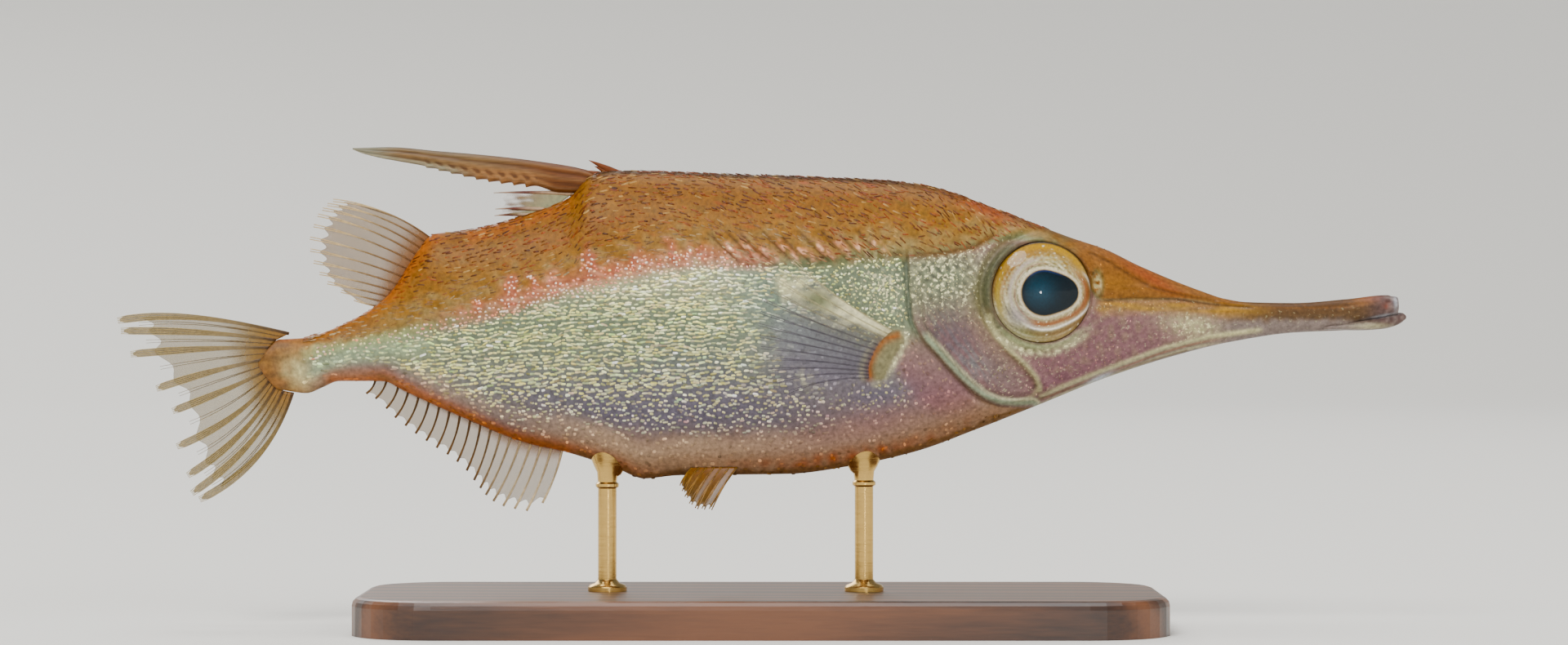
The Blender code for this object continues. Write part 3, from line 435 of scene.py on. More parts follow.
    lay("moss", 0.8 * low_head * spot((23.2, 35.6), (1.3, 2.2)) * (0.9 + 0.3 * speck), specks=0.2)
    cheek = low_head * ramp(x, 27.5, 30.5) * ramp(-x, -46.0, -41.0) * ramp(-z, -34.8, -33.4)
    lay("mauve", cheek, specks=0.12)
    lay("pink", 0.6 * low_head * ramp(x, 29.0, 31.0) * ramp(fine, 0.0, 1.2), specks=0.2)
    lay("lilac", 0.6 * low_head * ramp(x, 29.0, 31.0) * ramp(wander(x, z, 0.9, 15), 0.2, 1.2))
    silver = low_head * 0.85 * spot((46.5, 32.4), (3.4, 1.2), -10)
    lay("cream", silver * (0.8 + 0.3 * speck), shine=0.5, specks=0.6)
    lay("grey", head * ramp(x, 46.0, 51.0), shine=0.15, contrast=0.1, specks=0.1)
    lay("bark", head * ramp(x, 47.0, 53.0) * ramp(z + 0.15 * fine, 32.6, 33.5))
    front = head * ramp(over, -0.15, 0.25) * ramp(x, 32.5, 34.5)
    lay("snout", front, shine=0.06, contrast=0.2, specks=0.0)
    lay("umber", front * ramp(x, 49.0, 53.0) * ramp(-x, -65.5, -62.0) * 0.85)
    lay("tan", 0.6 * head * spot((37.5, 36.9), (2.6, 1.1), -12))
    # Cream spots over the nostril: painted glints
    lay("cream", 0.9 * head * spot(NOSTRIL, (0.42, 1.1)) * ramp(speck, -0.9, 0.2), shine=0.5)
    round_nostril = np.hypot(x - NOSTRIL[0], (z - NOSTRIL[1]) * 0.45)
    lay("olive", 0.6 * head * near(round_nostril - 0.62, 0.15))
    stripe = [(36.2, 34.4), (40.0, 34.55), (45.0, 34.4), (50.0, 34.0), (54.5, 34.05)]
    amber = head * 0.95 * stroke(stripe, 0.72) * ramp(-x, -56.0, -48.0)
    lay("amber", amber * (0.9 + 0.2 * wander(0.25 * x, 2.0 * z, 1.4, 18)), specks=0.05)
    lay("brown", 0.5 * amber * ramp(wander(0.2 * x, 2.5 * z, 1.2, 19), 0.3, 1.2))
    lay("rust", head * 0.6 * spot((41.5, 37.6), (4.0, 0.7), -30), shine=0.1)
    lay("rust", head * 0.65 * spot((24.3, 44.6), (3.4, 0.8), -19), shine=0.1)
    lay("umber", 0.75 * stroke(SNOUT_GROOVE, 0.16))
    lay("umber", 0.6 * stroke(NOSE_RIDGE, 0.2))
    lay("brown", 0.9 * stroke(BROW_LINE, 0.36))
    socket = ramp(ring, 4.9, 5.4)
    # A dark line round the top of the eye socket: painted shadow of its rim
    lay("umber", 0.8 * near(ring - 5.35, 0.35) * ramp(np.sin(angle), 0.1, 0.6) * socket, specks=0.0)
    crescent = near(ring - 5.95, 0.62) * ramp(-np.cos(angle - 0.25), -0.1, 0.45) * socket
    lay("olive", 0.92 * crescent, specks=0.0, shine=0.1)
    lay("moss", 0.6 * near(ring - 6.8, 0.3) * ramp(-np.cos(angle + 0.2), 0.1, 0.7), specks=0.3)
    lay("green", 0.7 * near(ring - 5.8, 0.36) * ramp(-np.sin(angle), 0.55, 0.85), specks=0.1)
    rim = near(ring - 6.35, 0.35) * ramp(-np.sin(angle + 0.15), 0.3, 0.75)
    lay("pearl", 0.9 * rim * (0.75 + 0.4 * speck), shine=0.6, specks=0.8)
    yellow_edge = [(24.1, 34.0), (24.6, 31.6), (26.1, 29.8), (27.8, 28.2), (29.1, 26.7), (29.5, 25.4)]
    lay("gold", 0.5 * stroke(yellow_edge, 0.4))
    lay("cream", 0.85 * stroke(CHEEK_RIDGE, 0.26), shine=0.35)
    lay("cream", 0.5 * stroke([(29.7, 26.0), (28.9, 24.9), (27.3, 24.2)], 0.25))
    throat = low_head * ramp(x, 29.0, 31.0) * ramp(jaw_ridge(x) - z, -0.3, 0.2) * ramp(-x, -50.0, -46.0)
    lay("grey", 0.9 * throat, specks=0.0)
    lay("cream", 0.85 * stroke(JAW_RIDGE, 0.26) * ramp(-x, -58.0, -50.0), shine=0.4)
    lay("orange", 0.5 * throat * near(jaw_ridge(x) - z - 0.45, 0.16))
    lay("cream", 0.6 * throat * near(jaw_ridge(x) - z - 0.85, 0.2), shine=0.3)
    for fold in THROAT_FOLDS:
        lay("gold", 0.7 * stroke(fold, 0.15))
    # A bluish-white painted glint along the jaw
    lay("glint", 0.85 * spot((36.2, 26.85), (1.3, 0.28), 24), shine=0.4)
    lower = ramp(-z, -32.2, -31.0) * ramp(z, 23.0, 24.2)
    lay("sea", 0.9 * near(gill - 0.6, 0.42) * lower, shine=0.4, specks=0.0)
    lay("pearl", 0.7 * near(gill - 0.95, 0.14) * lower, shine=0.5)
    lay("gold", 0.7 * near(gill - 0.08, 0.16) * lower)
    upper = ramp(z, 32.4, 33.4) * ramp(-z, -40.2, -39.4)
    lay("moss", 0.9 * near(gill + 0.42, 0.24) * upper, specks=0.0)
    lay("umber", 0.85 * near(gill + 0.02, 0.15) * upper, specks=0.0)
    lay("umber", 0.5 * stroke(GILL_PLATE, 0.2) * ramp(z, 24.9, 26.0))
    # Lips
    lay("lip", ramp(x, 63.5, 66.5), shine=0.05, contrast=0.0, specks=0.0)
    lay("rust", 0.3 * spot((66.9, 34.6), (0.5, 0.4)) + 0.25 * spot((65.2, 35.4), (1.4, 0.35), 4))
    lay("grey", 0.6 * ramp(x, 66.2, 67.2) * ramp(wander(x, z, 0.8, 23), -0.6, 0.8))
    # Whitish painted highlights on the lips
    lay("glint", 0.35 * spot((67.8, 35.0), (0.25, 0.9)) + 0.3 * spot((66.4, 33.5), (1.4, 0.16), 10))
    lay("pearl", 0.35 * spot((65.2, 32.4), (1.8, 0.3)))
    # Beside the pectoral fin's foot
    lay("pearl", 0.55 * spot((4.6, 26.7), (0.8, 1.0)) * ramp(speck, -0.6, 0.6), shine=0.5)
    # A pale pearl patch under the pectoral fin's top rays: painted highlight where they catch the light
    lit = ramp(spot((3.0, 36.4), (2.2, 1.6), -50) + 0.1 * fine, 0.3, 0.9)
    lay("pearl", 0.95 * lit, shine=0.5, contrast=0.3)
    lay("green", 0.9 * spot((12.8, 36.0), (3.0, 3.4), 10), shine=0.55, contrast=0.8, specks=0.6)
    mottle = speck + 0.2 * fine
    lay("pearl", 0.75 * spot((12.6, 36.4), (3.0, 3.2), 10) * ramp(mottle, 0.0, 1.0), shine=0.7)
    lay("bronze", 0.7 * spot((12.6, 36.4), (3.4, 3.4), 10) * ramp(-mottle, 0.3, 1.1), shine=0.2)
    # Pale pearl specks along the lobe's front edge: painted highlight
    lay("pearl", 0.9 * stroke(LOBE_EDGE, 0.42) * (0.75 + 0.4 * speck), shine=0.5, specks=0.9)
    lay("lobe", 0.95 * ramp(-from_line(x, z, LOBE), -1.15, -0.8), shine=0.1, contrast=0.0, specks=0.0)
    lay("ochre", 0.95 * stroke(PECTORAL_FOOT, 0.5), shine=0.05, contrast=0.0)
    lay("orange", 0.5 * stroke(PECTORAL_FOOT, 0.22))
    lay("cream", 0.6 * stroke(moved(PECTORAL_FOOT, -0.75), 0.3))
    # Tail
    stripe = [(-36.0, 30.2), (-43.9, 29.4), (-46.6, 28.4), (-48.5, 27.3)]
    lay("sea", 0.8 * stroke(stripe, 1.0), shine=0.45, contrast=0.3)
    lay("pink", 0.7 * near(keel - 0.5, 0.7) * ramp(-x, 40.0, 43.0), contrast=0.1)
    lay("ochre", 0.9 * ramp(-x, 47.5, 49.8), shine=0.1, contrast=0.0)
    lay("tan", 0.5 * ramp(-x, 47.5, 50.5) * (0.8 + 0.4 * fine))
    lay("lip", 0.3 * ramp(-x, 50.0, 52.5) * ramp(z, 28.0, 30.0))
    fan = np.sin(26 * np.arctan2(z - 28.5, -45.0 - x) + 0.4 * fine)
    lay("bark", 0.5 * ramp(-x, 49.0, 51.5) * ramp(fan, 0.0, 0.9))
    # A whitish painted highlight on the tail root
    lay("cream", 0.75 * spot((-49.5, 27.4), (1.7, 1.3), -50) * (0.8 + 0.3 * fine), shine=0.3)
    lay("orange", 0.8 * stroke(SOFT_FIN_FOOT, 0.95), shine=0.05, contrast=0.1)
    lay("orange", 0.75 * stroke(ANAL_FIN_FOOT, 0.55), shine=0.05, contrast=0.1)
    lay("brown", 0.6 * spot((-43.8, 32.0), (3.2, 0.9), 22))
    lay("rust", spot((-47.6, 31.9), (1.3, 0.45), 24) + 0.6 * spot((-50.4, 31.2), (1.2, 0.3), 12))
    return layer


def gap_shade_colour(z):
    """The painted shade between scales: violet grey low on the flank, turning to a green grey above."""
    return blend("#625A72", "#5A6C64", ramp(z, 24.0, 33.0))


# Skin
# One skin over snout, head, trunk and tail, painted resin under a thin satin varnish. Its folds,
# gill edge and socket rims are in the surface, and the lower jaw closes under the snout.
def fill(tree, node, inputs):
    """Gives a node's inputs, by name or number, their values, or links them to other nodes."""
    for key, value in inputs.items():
        if isinstance(value, bpy.types.NodeSocket):
            tree.links.new(value, node.inputs[key])
        else:
            node.inputs[key].default_value = value


def add_node(tree, kind, inputs, **settings):
    """Adds a node, sets its properties and fills its inputs."""
    node = tree.nodes.new(kind)
    for key, value in settings.items():
        setattr(node, key, value)
    fill(tree, node, inputs)
    return node


def place_on(tree, **mapping):
    """The place on the object, drawn out by a mapping where one is given."""
    place = add_node(tree, "ShaderNodeTexCoord", {}).outputs["Object"]
    if mapping:
        place = add_node(tree, "ShaderNodeMapping", {"Vector": place, **mapping}).outputs[0]
    return place


def stored(tree, name, output="Fac"):
    return add_node(tree, "ShaderNodeAttribute", {}, attribute_name=name).outputs[output]


def noise(tree, place, scale, detail):
    inputs = {"Vector": place, "Scale": scale, "Detail": detail}
    return add_node(tree, "ShaderNodeTexNoise", inputs).outputs["Fac"]


def spread(tree, value, low, high, start, end):
    """A value from low to high, brought to the range from start to end."""
    return add_node(tree, "ShaderNodeMapRange", {0: value, 1: low, 2: high, 3: start, 4: end}).outputs[0]


def scaled_sum(tree, value, factor, other):
    inputs = {0: value, 1: factor, 2: other}
    return add_node(tree, "ShaderNodeMath", inputs, operation="MULTIPLY_ADD").outputs[0]


def mixed(tree, share, first, second, blend_type="MIX"):
    inputs = {0: share, 6: first, 7: second}
    return add_node(tree, "ShaderNodeMix", inputs, data_type="RGBA", blend_type=blend_type).outputs[2]


def bumped(tree, strength, depth, height):
    """The surface normal over bumps that are some mm deep."""
    inputs = {"Strength": strength, "Distance": depth * MM, "Height": height}
    return add_node(tree, "ShaderNodeBump", inputs).outputs["Normal"]


def new_material(name):
    """A material with only its Principled shader and output, and its node tree."""
    material = bpy.data.materials.new(name)
    material.use_nodes = True
    return material, material.node_tree


def finished(material, inputs):
    """Fills the material's Principled shader and gives the material."""
    fill(material.node_tree, material.node_tree.nodes["Principled BSDF"], inputs)
    return material


def grained_paint(tree, place, scale, depth):
    """The laid paint times a fine noise that runs from 1 - depth to 1 + depth: the colour and the
    noise itself."""
    grain = noise(tree, place, scale, 3.0)
    light = spread(tree, grain, 0.3, 0.7, 1 - depth, 1 + depth)
    return mixed(tree, 1.0, stored(tree, "paint", "Color"), light, "MULTIPLY"), grain


def painted_resin(name, roughness, bump_depth, specked):
    """Painted cast resin, satin varnished: the laid paint with fine grain, pearl specks where the
    paint asks for them, and part metallic where pearl powder was mixed in."""
    material, tree = new_material(name)
    place = place_on(tree)
    colour, grain = grained_paint(tree, place, 2400.0, 0.28)
    if specked:
        amount = stored(tree, "specks")
        dots = scaled_sum(tree, amount, 0.2, noise(tree, place, 2900.0, 1.0))
        lit = spread(tree, dots, 0.66, 0.76, 0.0, 1.4)
        shown = add_node(tree, "ShaderNodeMath", {0: lit, 1: amount}, operation="MULTIPLY", use_clamp=True)
        colour = mixed(tree, shown.outputs[0], colour, (*linear("#F2EBB4"), 1))
    shine = stored(tree, "shine")
    return finished(material, {
        "Base Color": colour, "Metallic": shine, "Normal": bumped(tree, 0.6, bump_depth, grain),
        "Roughness": roughness, "Specular IOR Level": scaled_sum(tree, shine, 0.7, 0.12),
    })


def new_object(name, data):
    """A new object in the scene, made of some data."""
    made = bpy.data.objects.new(name, data)
    bpy.context.scene.collection.objects.link(made)
    return made


def smooth_mesh(name, points, faces, material):
    """A smooth mesh from points in metres and faces."""
    mesh = bpy.data.meshes.new(name)
    mesh.from_pydata(points.tolist(), [], faces)
    mesh.materials.append(material)
    mesh.shade_smooth()
    return mesh


def make_piece(name, points, faces, material, values=None):
    """A smooth mesh object at the origin from points in mm and faces, with per-point values as
    attributes: three numbers make a colour, one a float."""
    mesh = smooth_mesh(name, np.asarray(points) * MM, faces, material)
    for key, value in (values or {}).items():
        value = np.asarray(value, float)
        if value.ndim == 2:
            layer = mesh.attributes.new(key, "FLOAT_COLOR", "POINT")
            layer.data.foreach_set("color", np.column_stack([value, np.ones(len(value))]).ravel())
        else:
            layer = mesh.attributes.new(key, "FLOAT", "POINT")
            layer.data.foreach_set("value", value)
    piece = new_object(name, mesh)
    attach(piece, "root")
    return piece


def joined_tubes(points):
    """Flat points and faces of closed tubes from an array (tubes, rings, around, 3), each ring
    turning anticlockwise seen from the tube's far end: quads between rings, a face at each end."""
    tubes, rings, around = points.shape[:3]
    index = np.arange(tubes * rings * around).reshape(tubes, rings, around)
    beside = np.roll(index, -1, axis=2)
    quads = np.stack([index[:, :-1], beside[:, :-1], beside[:, 1:], index[:, 1:]], axis=-1).reshape(-1, 4)
    caps = np.concatenate([index[:, 0, ::-1], index[:, -1]])
    return points.reshape(-1, 3), quads.tolist() + caps.tolist()


def loft(x, y, z):
    """Flat points and faces of one closed tube from the x, y and z of its rings."""
    return joined_tubes(np.stack(np.broadcast_arrays(x, y, z), axis=-1)[None])


def clockwise(count):
    """The angles of one full turn, falling from a whole turn."""
    return np.linspace(2 * math.pi, 0, count, endpoint=False)[None, :]


def scale_room(x):
    """The share of the body's width that is left when the scales have their room."""
    return 1 - SCALE_DEPTH / np.maximum(half_width(x), 0.6)


def stations(spacing, start, end):
    """Places along the body whose step follows a spacing given as (x, step) points."""
    xs = np.linspace(start, end, 4000)
    gaps = np.interp(xs, *zip(*spacing))
    steps = np.concatenate([[0], np.cumsum((xs[1:] - xs[:-1]) / gaps[1:])])
    return np.interp(np.linspace(0, steps[-1], int(steps[-1])), steps, xs)


AROUND = 256
SPACING = [
    (-53.0, 0.5), (-30.0, 0.7), (-9.0, 0.7), (-6.0, 0.34), (8.0, 0.34), (11.0, 0.2), (48.0, 0.2),
    (52.0, 0.42), (68.0, 0.35),
]
TAIL_X, LIP_X = -53.0, 67.5
TAIL_ROUNDING = 1.3  # how far the tail root's middle reaches back past its upper and lower corners
# The eye socket's wall, in mm out from the eye's middle, and its floor, in mm from the middle plane
SOCKET_WALL, SOCKET_FLOOR = (4.98, 5.5), 3.0
# The rings that close both ends: their place along the body and their size
TAIL_CAP = [(-53.9, 0.35), (-53.75, 0.6), (-53.5, 0.85), (-53.25, 0.96)]
LIP_CAP = [
    (67.8, 0.985), (68.0, 0.95), (68.12, 0.88), (68.15, 0.8), (68.1, 0.72), (67.9, 0.66), (67.5, 0.62),
    (66.9, 0.57), (66.2, 0.45), (66.0, 0.2),
]
rings = [*TAIL_CAP, *((x, 1.0) for x in stations(SPACING, TAIL_X, LIP_X)), *LIP_CAP]
ring_x, ring_size = np.array(rings).T[..., None]
turn = clockwise(AROUND)
t = np.cos(turn)
hand = np.sign(np.round(np.sin(turn), 6))
section_x = np.clip(ring_x, TAIL_X, LIP_X)
open_skin = ramp(round_eye(section_x, height_at(section_x, t))[0], *SOCKET_WALL)
wide = side(section_x, t) * open_skin + SOCKET_FLOOR * (1 - open_skin)
middle = mid_height(section_x)
skin_x = ring_x + TAIL_ROUNDING * t**2 * ramp(-ring_x, 44.0, 53.0)
skin_y = hand * wide * scale_room(section_x) * ring_size
skin_z = middle + (height_at(section_x, t) - middle) * ring_size * 0.996
skin_points, skin_faces = loft(skin_x, skin_y, skin_z)

# The lower jaw is a scoop whose root is sunk in the throat
JAW_TOP = line_through([
    (60.0, 32.4), (63.8, 33.0), (66.0, 33.4), (67.6, 33.75), (68.2, 33.86), (68.7, 33.82), (69.0, 33.6),
])
JAW_BOTTOM = line_through([
    (60.0, 32.0), (64.0, 31.95), (66.5, 32.1), (67.8, 32.4), (68.6, 32.8), (69.0, 33.15),
])
JAW_ROOT, JAW_TIP, JAW_HALF_WIDTH = 60.0, 69.0, 1.3
jaw_x = JAW_ROOT + (JAW_TIP - JAW_ROOT) * (1 - (1 - np.linspace(0, 1, 40)) ** 1.5)[:, None]
jaw_turn = clockwise(32)
jaw_top, jaw_bottom = JAW_TOP(jaw_x), JAW_BOTTOM(jaw_x)
jaw_wide = JAW_HALF_WIDTH * (1 - 0.5 * ramp(jaw_x, 65.5, JAW_TIP)) * ramp(jaw_x, 59.0, 61.0)
jaw_z = 0.5 * (jaw_top + jaw_bottom) + 0.5 * (jaw_top - jaw_bottom) * np.cos(jaw_turn)
jaw_points, jaw_faces = loft(jaw_x, jaw_wide * np.sin(jaw_turn), jaw_z)
first = len(skin_points)
skin_faces += [[corner + first for corner in face] for face in jaw_faces]
skin_points = np.concatenate([skin_points, jaw_points])
skin_height = skin_points[:, 2]
laid = paint(skin_points[:, 0], skin_height)
# The skin under the scales is painted shade: darkened, and below the cap line turned to the gap's colour,
# the more where the scales stand out
contrast = laid["contrast"][:, None]
gap_shade = 0.6 * contrast * (1 - ramp(skin_height - CAP_LINE(skin_points[:, 0]), -1.0, 0.0))[:, None]
ground = laid["colour"] * (1 - 0.65 * contrast) * (1 - gap_shade) + gap_shade_colour(skin_height) * gap_shade
skin = make_piece(
    "skin", skin_points, skin_faces, painted_resin("painted_resin_skin", 0.42, 0.05, True),
    {"paint": ground, "shine": 0.5 * laid["shine"], "specks": laid["specks"]},
)
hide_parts("snout", "lower_jaw", "head", "gill_cover_left", "gill_cover_right", "trunk", "tail")

# Scales
# Small keeled scales set in rows, each a long plate with a raised rear edge that catches the
# light. They are cast with the skin and carry its paint, with a painted highlight along each crest
# and painted shade at the lower edges.
SCALE_FORM = np.array([
    (0.5, 0, -0.6), (0.3, 0.48, -0.5), (-0.35, 0.48, -0.4), (-0.5, 0, 0.0), (-0.35, -0.48, -0.4),
    (0.3, -0.48, -0.5), (0.3, -0.06, 0.5), (-0.4, -0.06, 1.0), (0, 0, -1.6),
])
# How much painted highlight from its crest and painted shade from the gap each corner of a scale takes
CREST_HIGHLIGHT_SHARE = np.array([0.3, 0.0, 0.0, 0.3, 0.05, 0.05, 0.9, 1.0, 0.0])
SHADE_SHARE = np.array([0.3, 0.95, 0.95, 0.3, 0.5, 0.5, 0.0, 0.0, 1.0])
SCALE_FACES = np.array([
    (0, 1, 6), (1, 7, 6), (1, 2, 7), (2, 3, 7), (3, 4, 7), (4, 5, 7), (5, 6, 7), (5, 0, 6),
    (1, 0, 8), (2, 1, 8), (3, 2, 8), (4, 3, 8), (5, 4, 8), (0, 5, 8),
])
LATERAL_LINE = line_through([
    (-53.0, 28.4), (-40.0, 29.4), (-20.0, 31.0), (0.0, 31.6), (20.0, 31.6), (35.0, 31.0), (50.0, 33.0),
    (66.0, 33.8),
])
ARC_X = np.linspace(-52.5, 66.5, 500)
ARC_T = np.sin(np.linspace(-math.pi / 2, math.pi / 2, 241))
arc_y = side(ARC_X[:, None], ARC_T[None, :], detail=False)
arc_z = height_at(ARC_X[:, None], ARC_T[None, :])
arc_dy, arc_dz = (np.diff(v, axis=1, prepend=v[:, :1]) for v in (arc_y, arc_z))
arc = np.cumsum(np.hypot(arc_dy, arc_dz), axis=1)
FAR = 1000.0  # more than any section's girth, so that shifted rows never meet


def place_on_arc(x, distance):
    """The section place t a given way round the section from the keel, read from a table of arc
    lengths: each section's row is shifted by its own whole step, so one search serves them all."""
    row = np.clip((x - ARC_X[0]) / (ARC_X[1] - ARC_X[0]), 0, len(ARC_X) - 1.001)
    shift = np.arange(len(ARC_X))[:, None] * FAR
    lengths, places = (arc + shift).ravel(), np.tile(ARC_T, len(ARC_X))
    low = np.floor(row)
    below = np.interp(distance + low * FAR, lengths, places)
    above = np.interp(distance + (low + 1) * FAR, lengths, places)
    return below + (above - below) * (row - low)


girth = line_through(list(zip(ARC_X, arc[:, -1])))
lateral_t = place_at(ARC_X, LATERAL_LINE(ARC_X))
lateral_arc = line_through([(x, np.interp(at, ARC_T, row)) for x, at, row in zip(ARC_X, lateral_t, arc)])
STEP = 0.2  # how far ahead of its root a scale's direction is read
EYE_GAP = 6.95  # scales keep this far from the middle of the eye
FLANK_SHADE_HEIGHT, FLANK_SHADE_WIDTH = 28.6, 2.4  # the height and half width of the band of painted shade along the flank
NAPE_END, PEARLY_END = 33.0, -3.0  # how far forward the back's scales go, and the pearly ones
# Left bare: the throat below the jaw's ridge, the top of the snout, and the tail's very root
THROAT_START, SNOUT_START, SNOUT_SCALES_TOP, LAST_SCALE = 29.0, 43.0, 34.2, -49.0
# The UV map lays the side out flat, with each scale as a small patch at its root's place
UV_START, UV_LENGTH, UV_MARGIN, UV_SCALE_SIZE = -56.0, 108.0, 0.03, 0.003
# How far scales keep from each fold and edge
LINE_GAPS = [
    (SNOUT_GROOVE, 0.3), (GILL_PLATE, 0.22), (CHEEK_RIDGE, 0.4), (JAW_RIDGE, 0.35), (PECTORAL_FOOT, 0.75),
    (LOBE_EDGE, 0.4), (LOBE, 1.3),
]


def surface_at(x, t):
    return np.stack([x, side(x, t) * scale_room(x), height_at(x, t)], axis=-1)


def scale_rows(start, end, pitch, length, from_keel, draw):
    """Rows of scales counted from a line that runs a given arc length from the keel, set wider
    apart towards the belly, every other row half a scale on: x, section place t, the t a short
    step ahead in the same row, and the row's own pitch."""
    rows = int(girth(np.linspace(start, end, 50)).max() / pitch) + 1
    columns = int((end - start) / length)
    row, column = np.meshgrid(np.arange(-rows, rows) + 0.5, np.arange(columns), indexing="ij")
    widening = 0.011 * np.maximum(-row, 0) * (from_keel is lateral_arc)
    x = start + (column + 0.5 * (np.floor(row) % 2) + draw.normal(0, 0.26, row.shape)) * length
    loose = 1 + 2.5 * ramp(x, 6.0, 10.0) + 2.4 * ramp(-row * pitch, 2.5, 7.0)
    off = (row + draw.normal(0, 0.12, row.shape) * loose) * pitch * (1 + widening)

    def way_round(at):
        waves = 0.15 * wander(at, 1.4 * row * pitch, 3.6, 51) + 0.05 * wander(at, 2.5 * row * pitch, 1.7, 53)
        return from_keel(at) + off + waves

    distance, ahead = way_round(x), way_round(x + STEP)
    inside = (distance > 0.2) & (distance < girth(x) - 0.1) & (x > start) & (x < end)
    x, distance, ahead, widening = (v[inside] for v in (x, distance, ahead, widening))
    return x, place_on_arc(x, distance), place_on_arc(x + STEP, ahead), pitch * (1 + 2 * widening)


def put_uv(piece, name, uv_of_point):
    """Lays a UV map whose corners take the value of their point."""
    layer = piece.data.uv_layers.new(name=name)
    corner = np.empty(len(piece.data.loops), np.int32)
    piece.data.loops.foreach_get("vertex_index", corner)
    layer.data.foreach_set("uv", uv_of_point[corner].ravel())


KINDS = ("flank", "back", "head")
FLANK, BACK, HEAD = range(3)


def sown(zones, draw):
    """The scales of some zones that stay clear of eye, gill, folds and lips, thinned out as the
    paint asks: x, z, t, the t ahead, kind, length, pitch and the paint at each root."""
    sets = []
    for zone, start, end, pitch, length, from_keel in zones:
        x, t, t_ahead, pitch = scale_rows(start, end, pitch, length, from_keel, draw)
        z = height_at(x, t)
        above, gill = (z > CAP_LINE(x)) & (x < NAPE_END), ahead_of_gill(x, z)
        pearly = (paint(x, z)["shine"] > 0.16) & (x < PEARLY_END)
        keep = {
            "flank": (~above | pearly) & (gill < 0),
            "back": above & ~(pearly & (gill < 0)),
            "head": ~above & (gill > 0),
        }[zone]
        kind = np.full(len(x), KINDS.index(zone))
        sets.append(np.column_stack([x, z, t, t_ahead, gill, kind, np.full(len(x), length), pitch])[keep])
    x, z, t, t_ahead, gill, kind, length, pitch = np.concatenate(sets).T
    laid = paint(x, z)
    low = ramp(-z, -33.5, -31.5)
    clear = (round_eye(x, z)[0] > EYE_GAP) & (np.abs(gill - 0.3 * low) > 0.5 + 0.35 * low)
    clear &= np.hypot(x - NOSTRIL[0], 0.5 * (z - NOSTRIL[1])) > 0.7
    for line, gap in LINE_GAPS:
        clear &= from_line(x, z, line) > gap
    clear &= ~((x > THROAT_START) & (z < jaw_ridge(x))) & (x > LAST_SCALE)
    clear &= ~((x > SNOUT_START) & (z > SNOUT_SCALES_TOP))
    flank_share = (0.25 + 1.1 * laid["contrast"]) * (1 - 0.12 * ramp(-z, -27.0, -22.0))
    kept_share = np.select([kind == FLANK, kind == BACK], [flank_share, 0.78], 0.12 + 0.9 * laid["specks"])
    clear &= draw.uniform(0, 1, len(x)) < kept_share
    laid = {key: value[clear] for key, value in laid.items()}
    return *(v[clear] for v in (x, z, t, t_ahead, kind, length, pitch)), laid


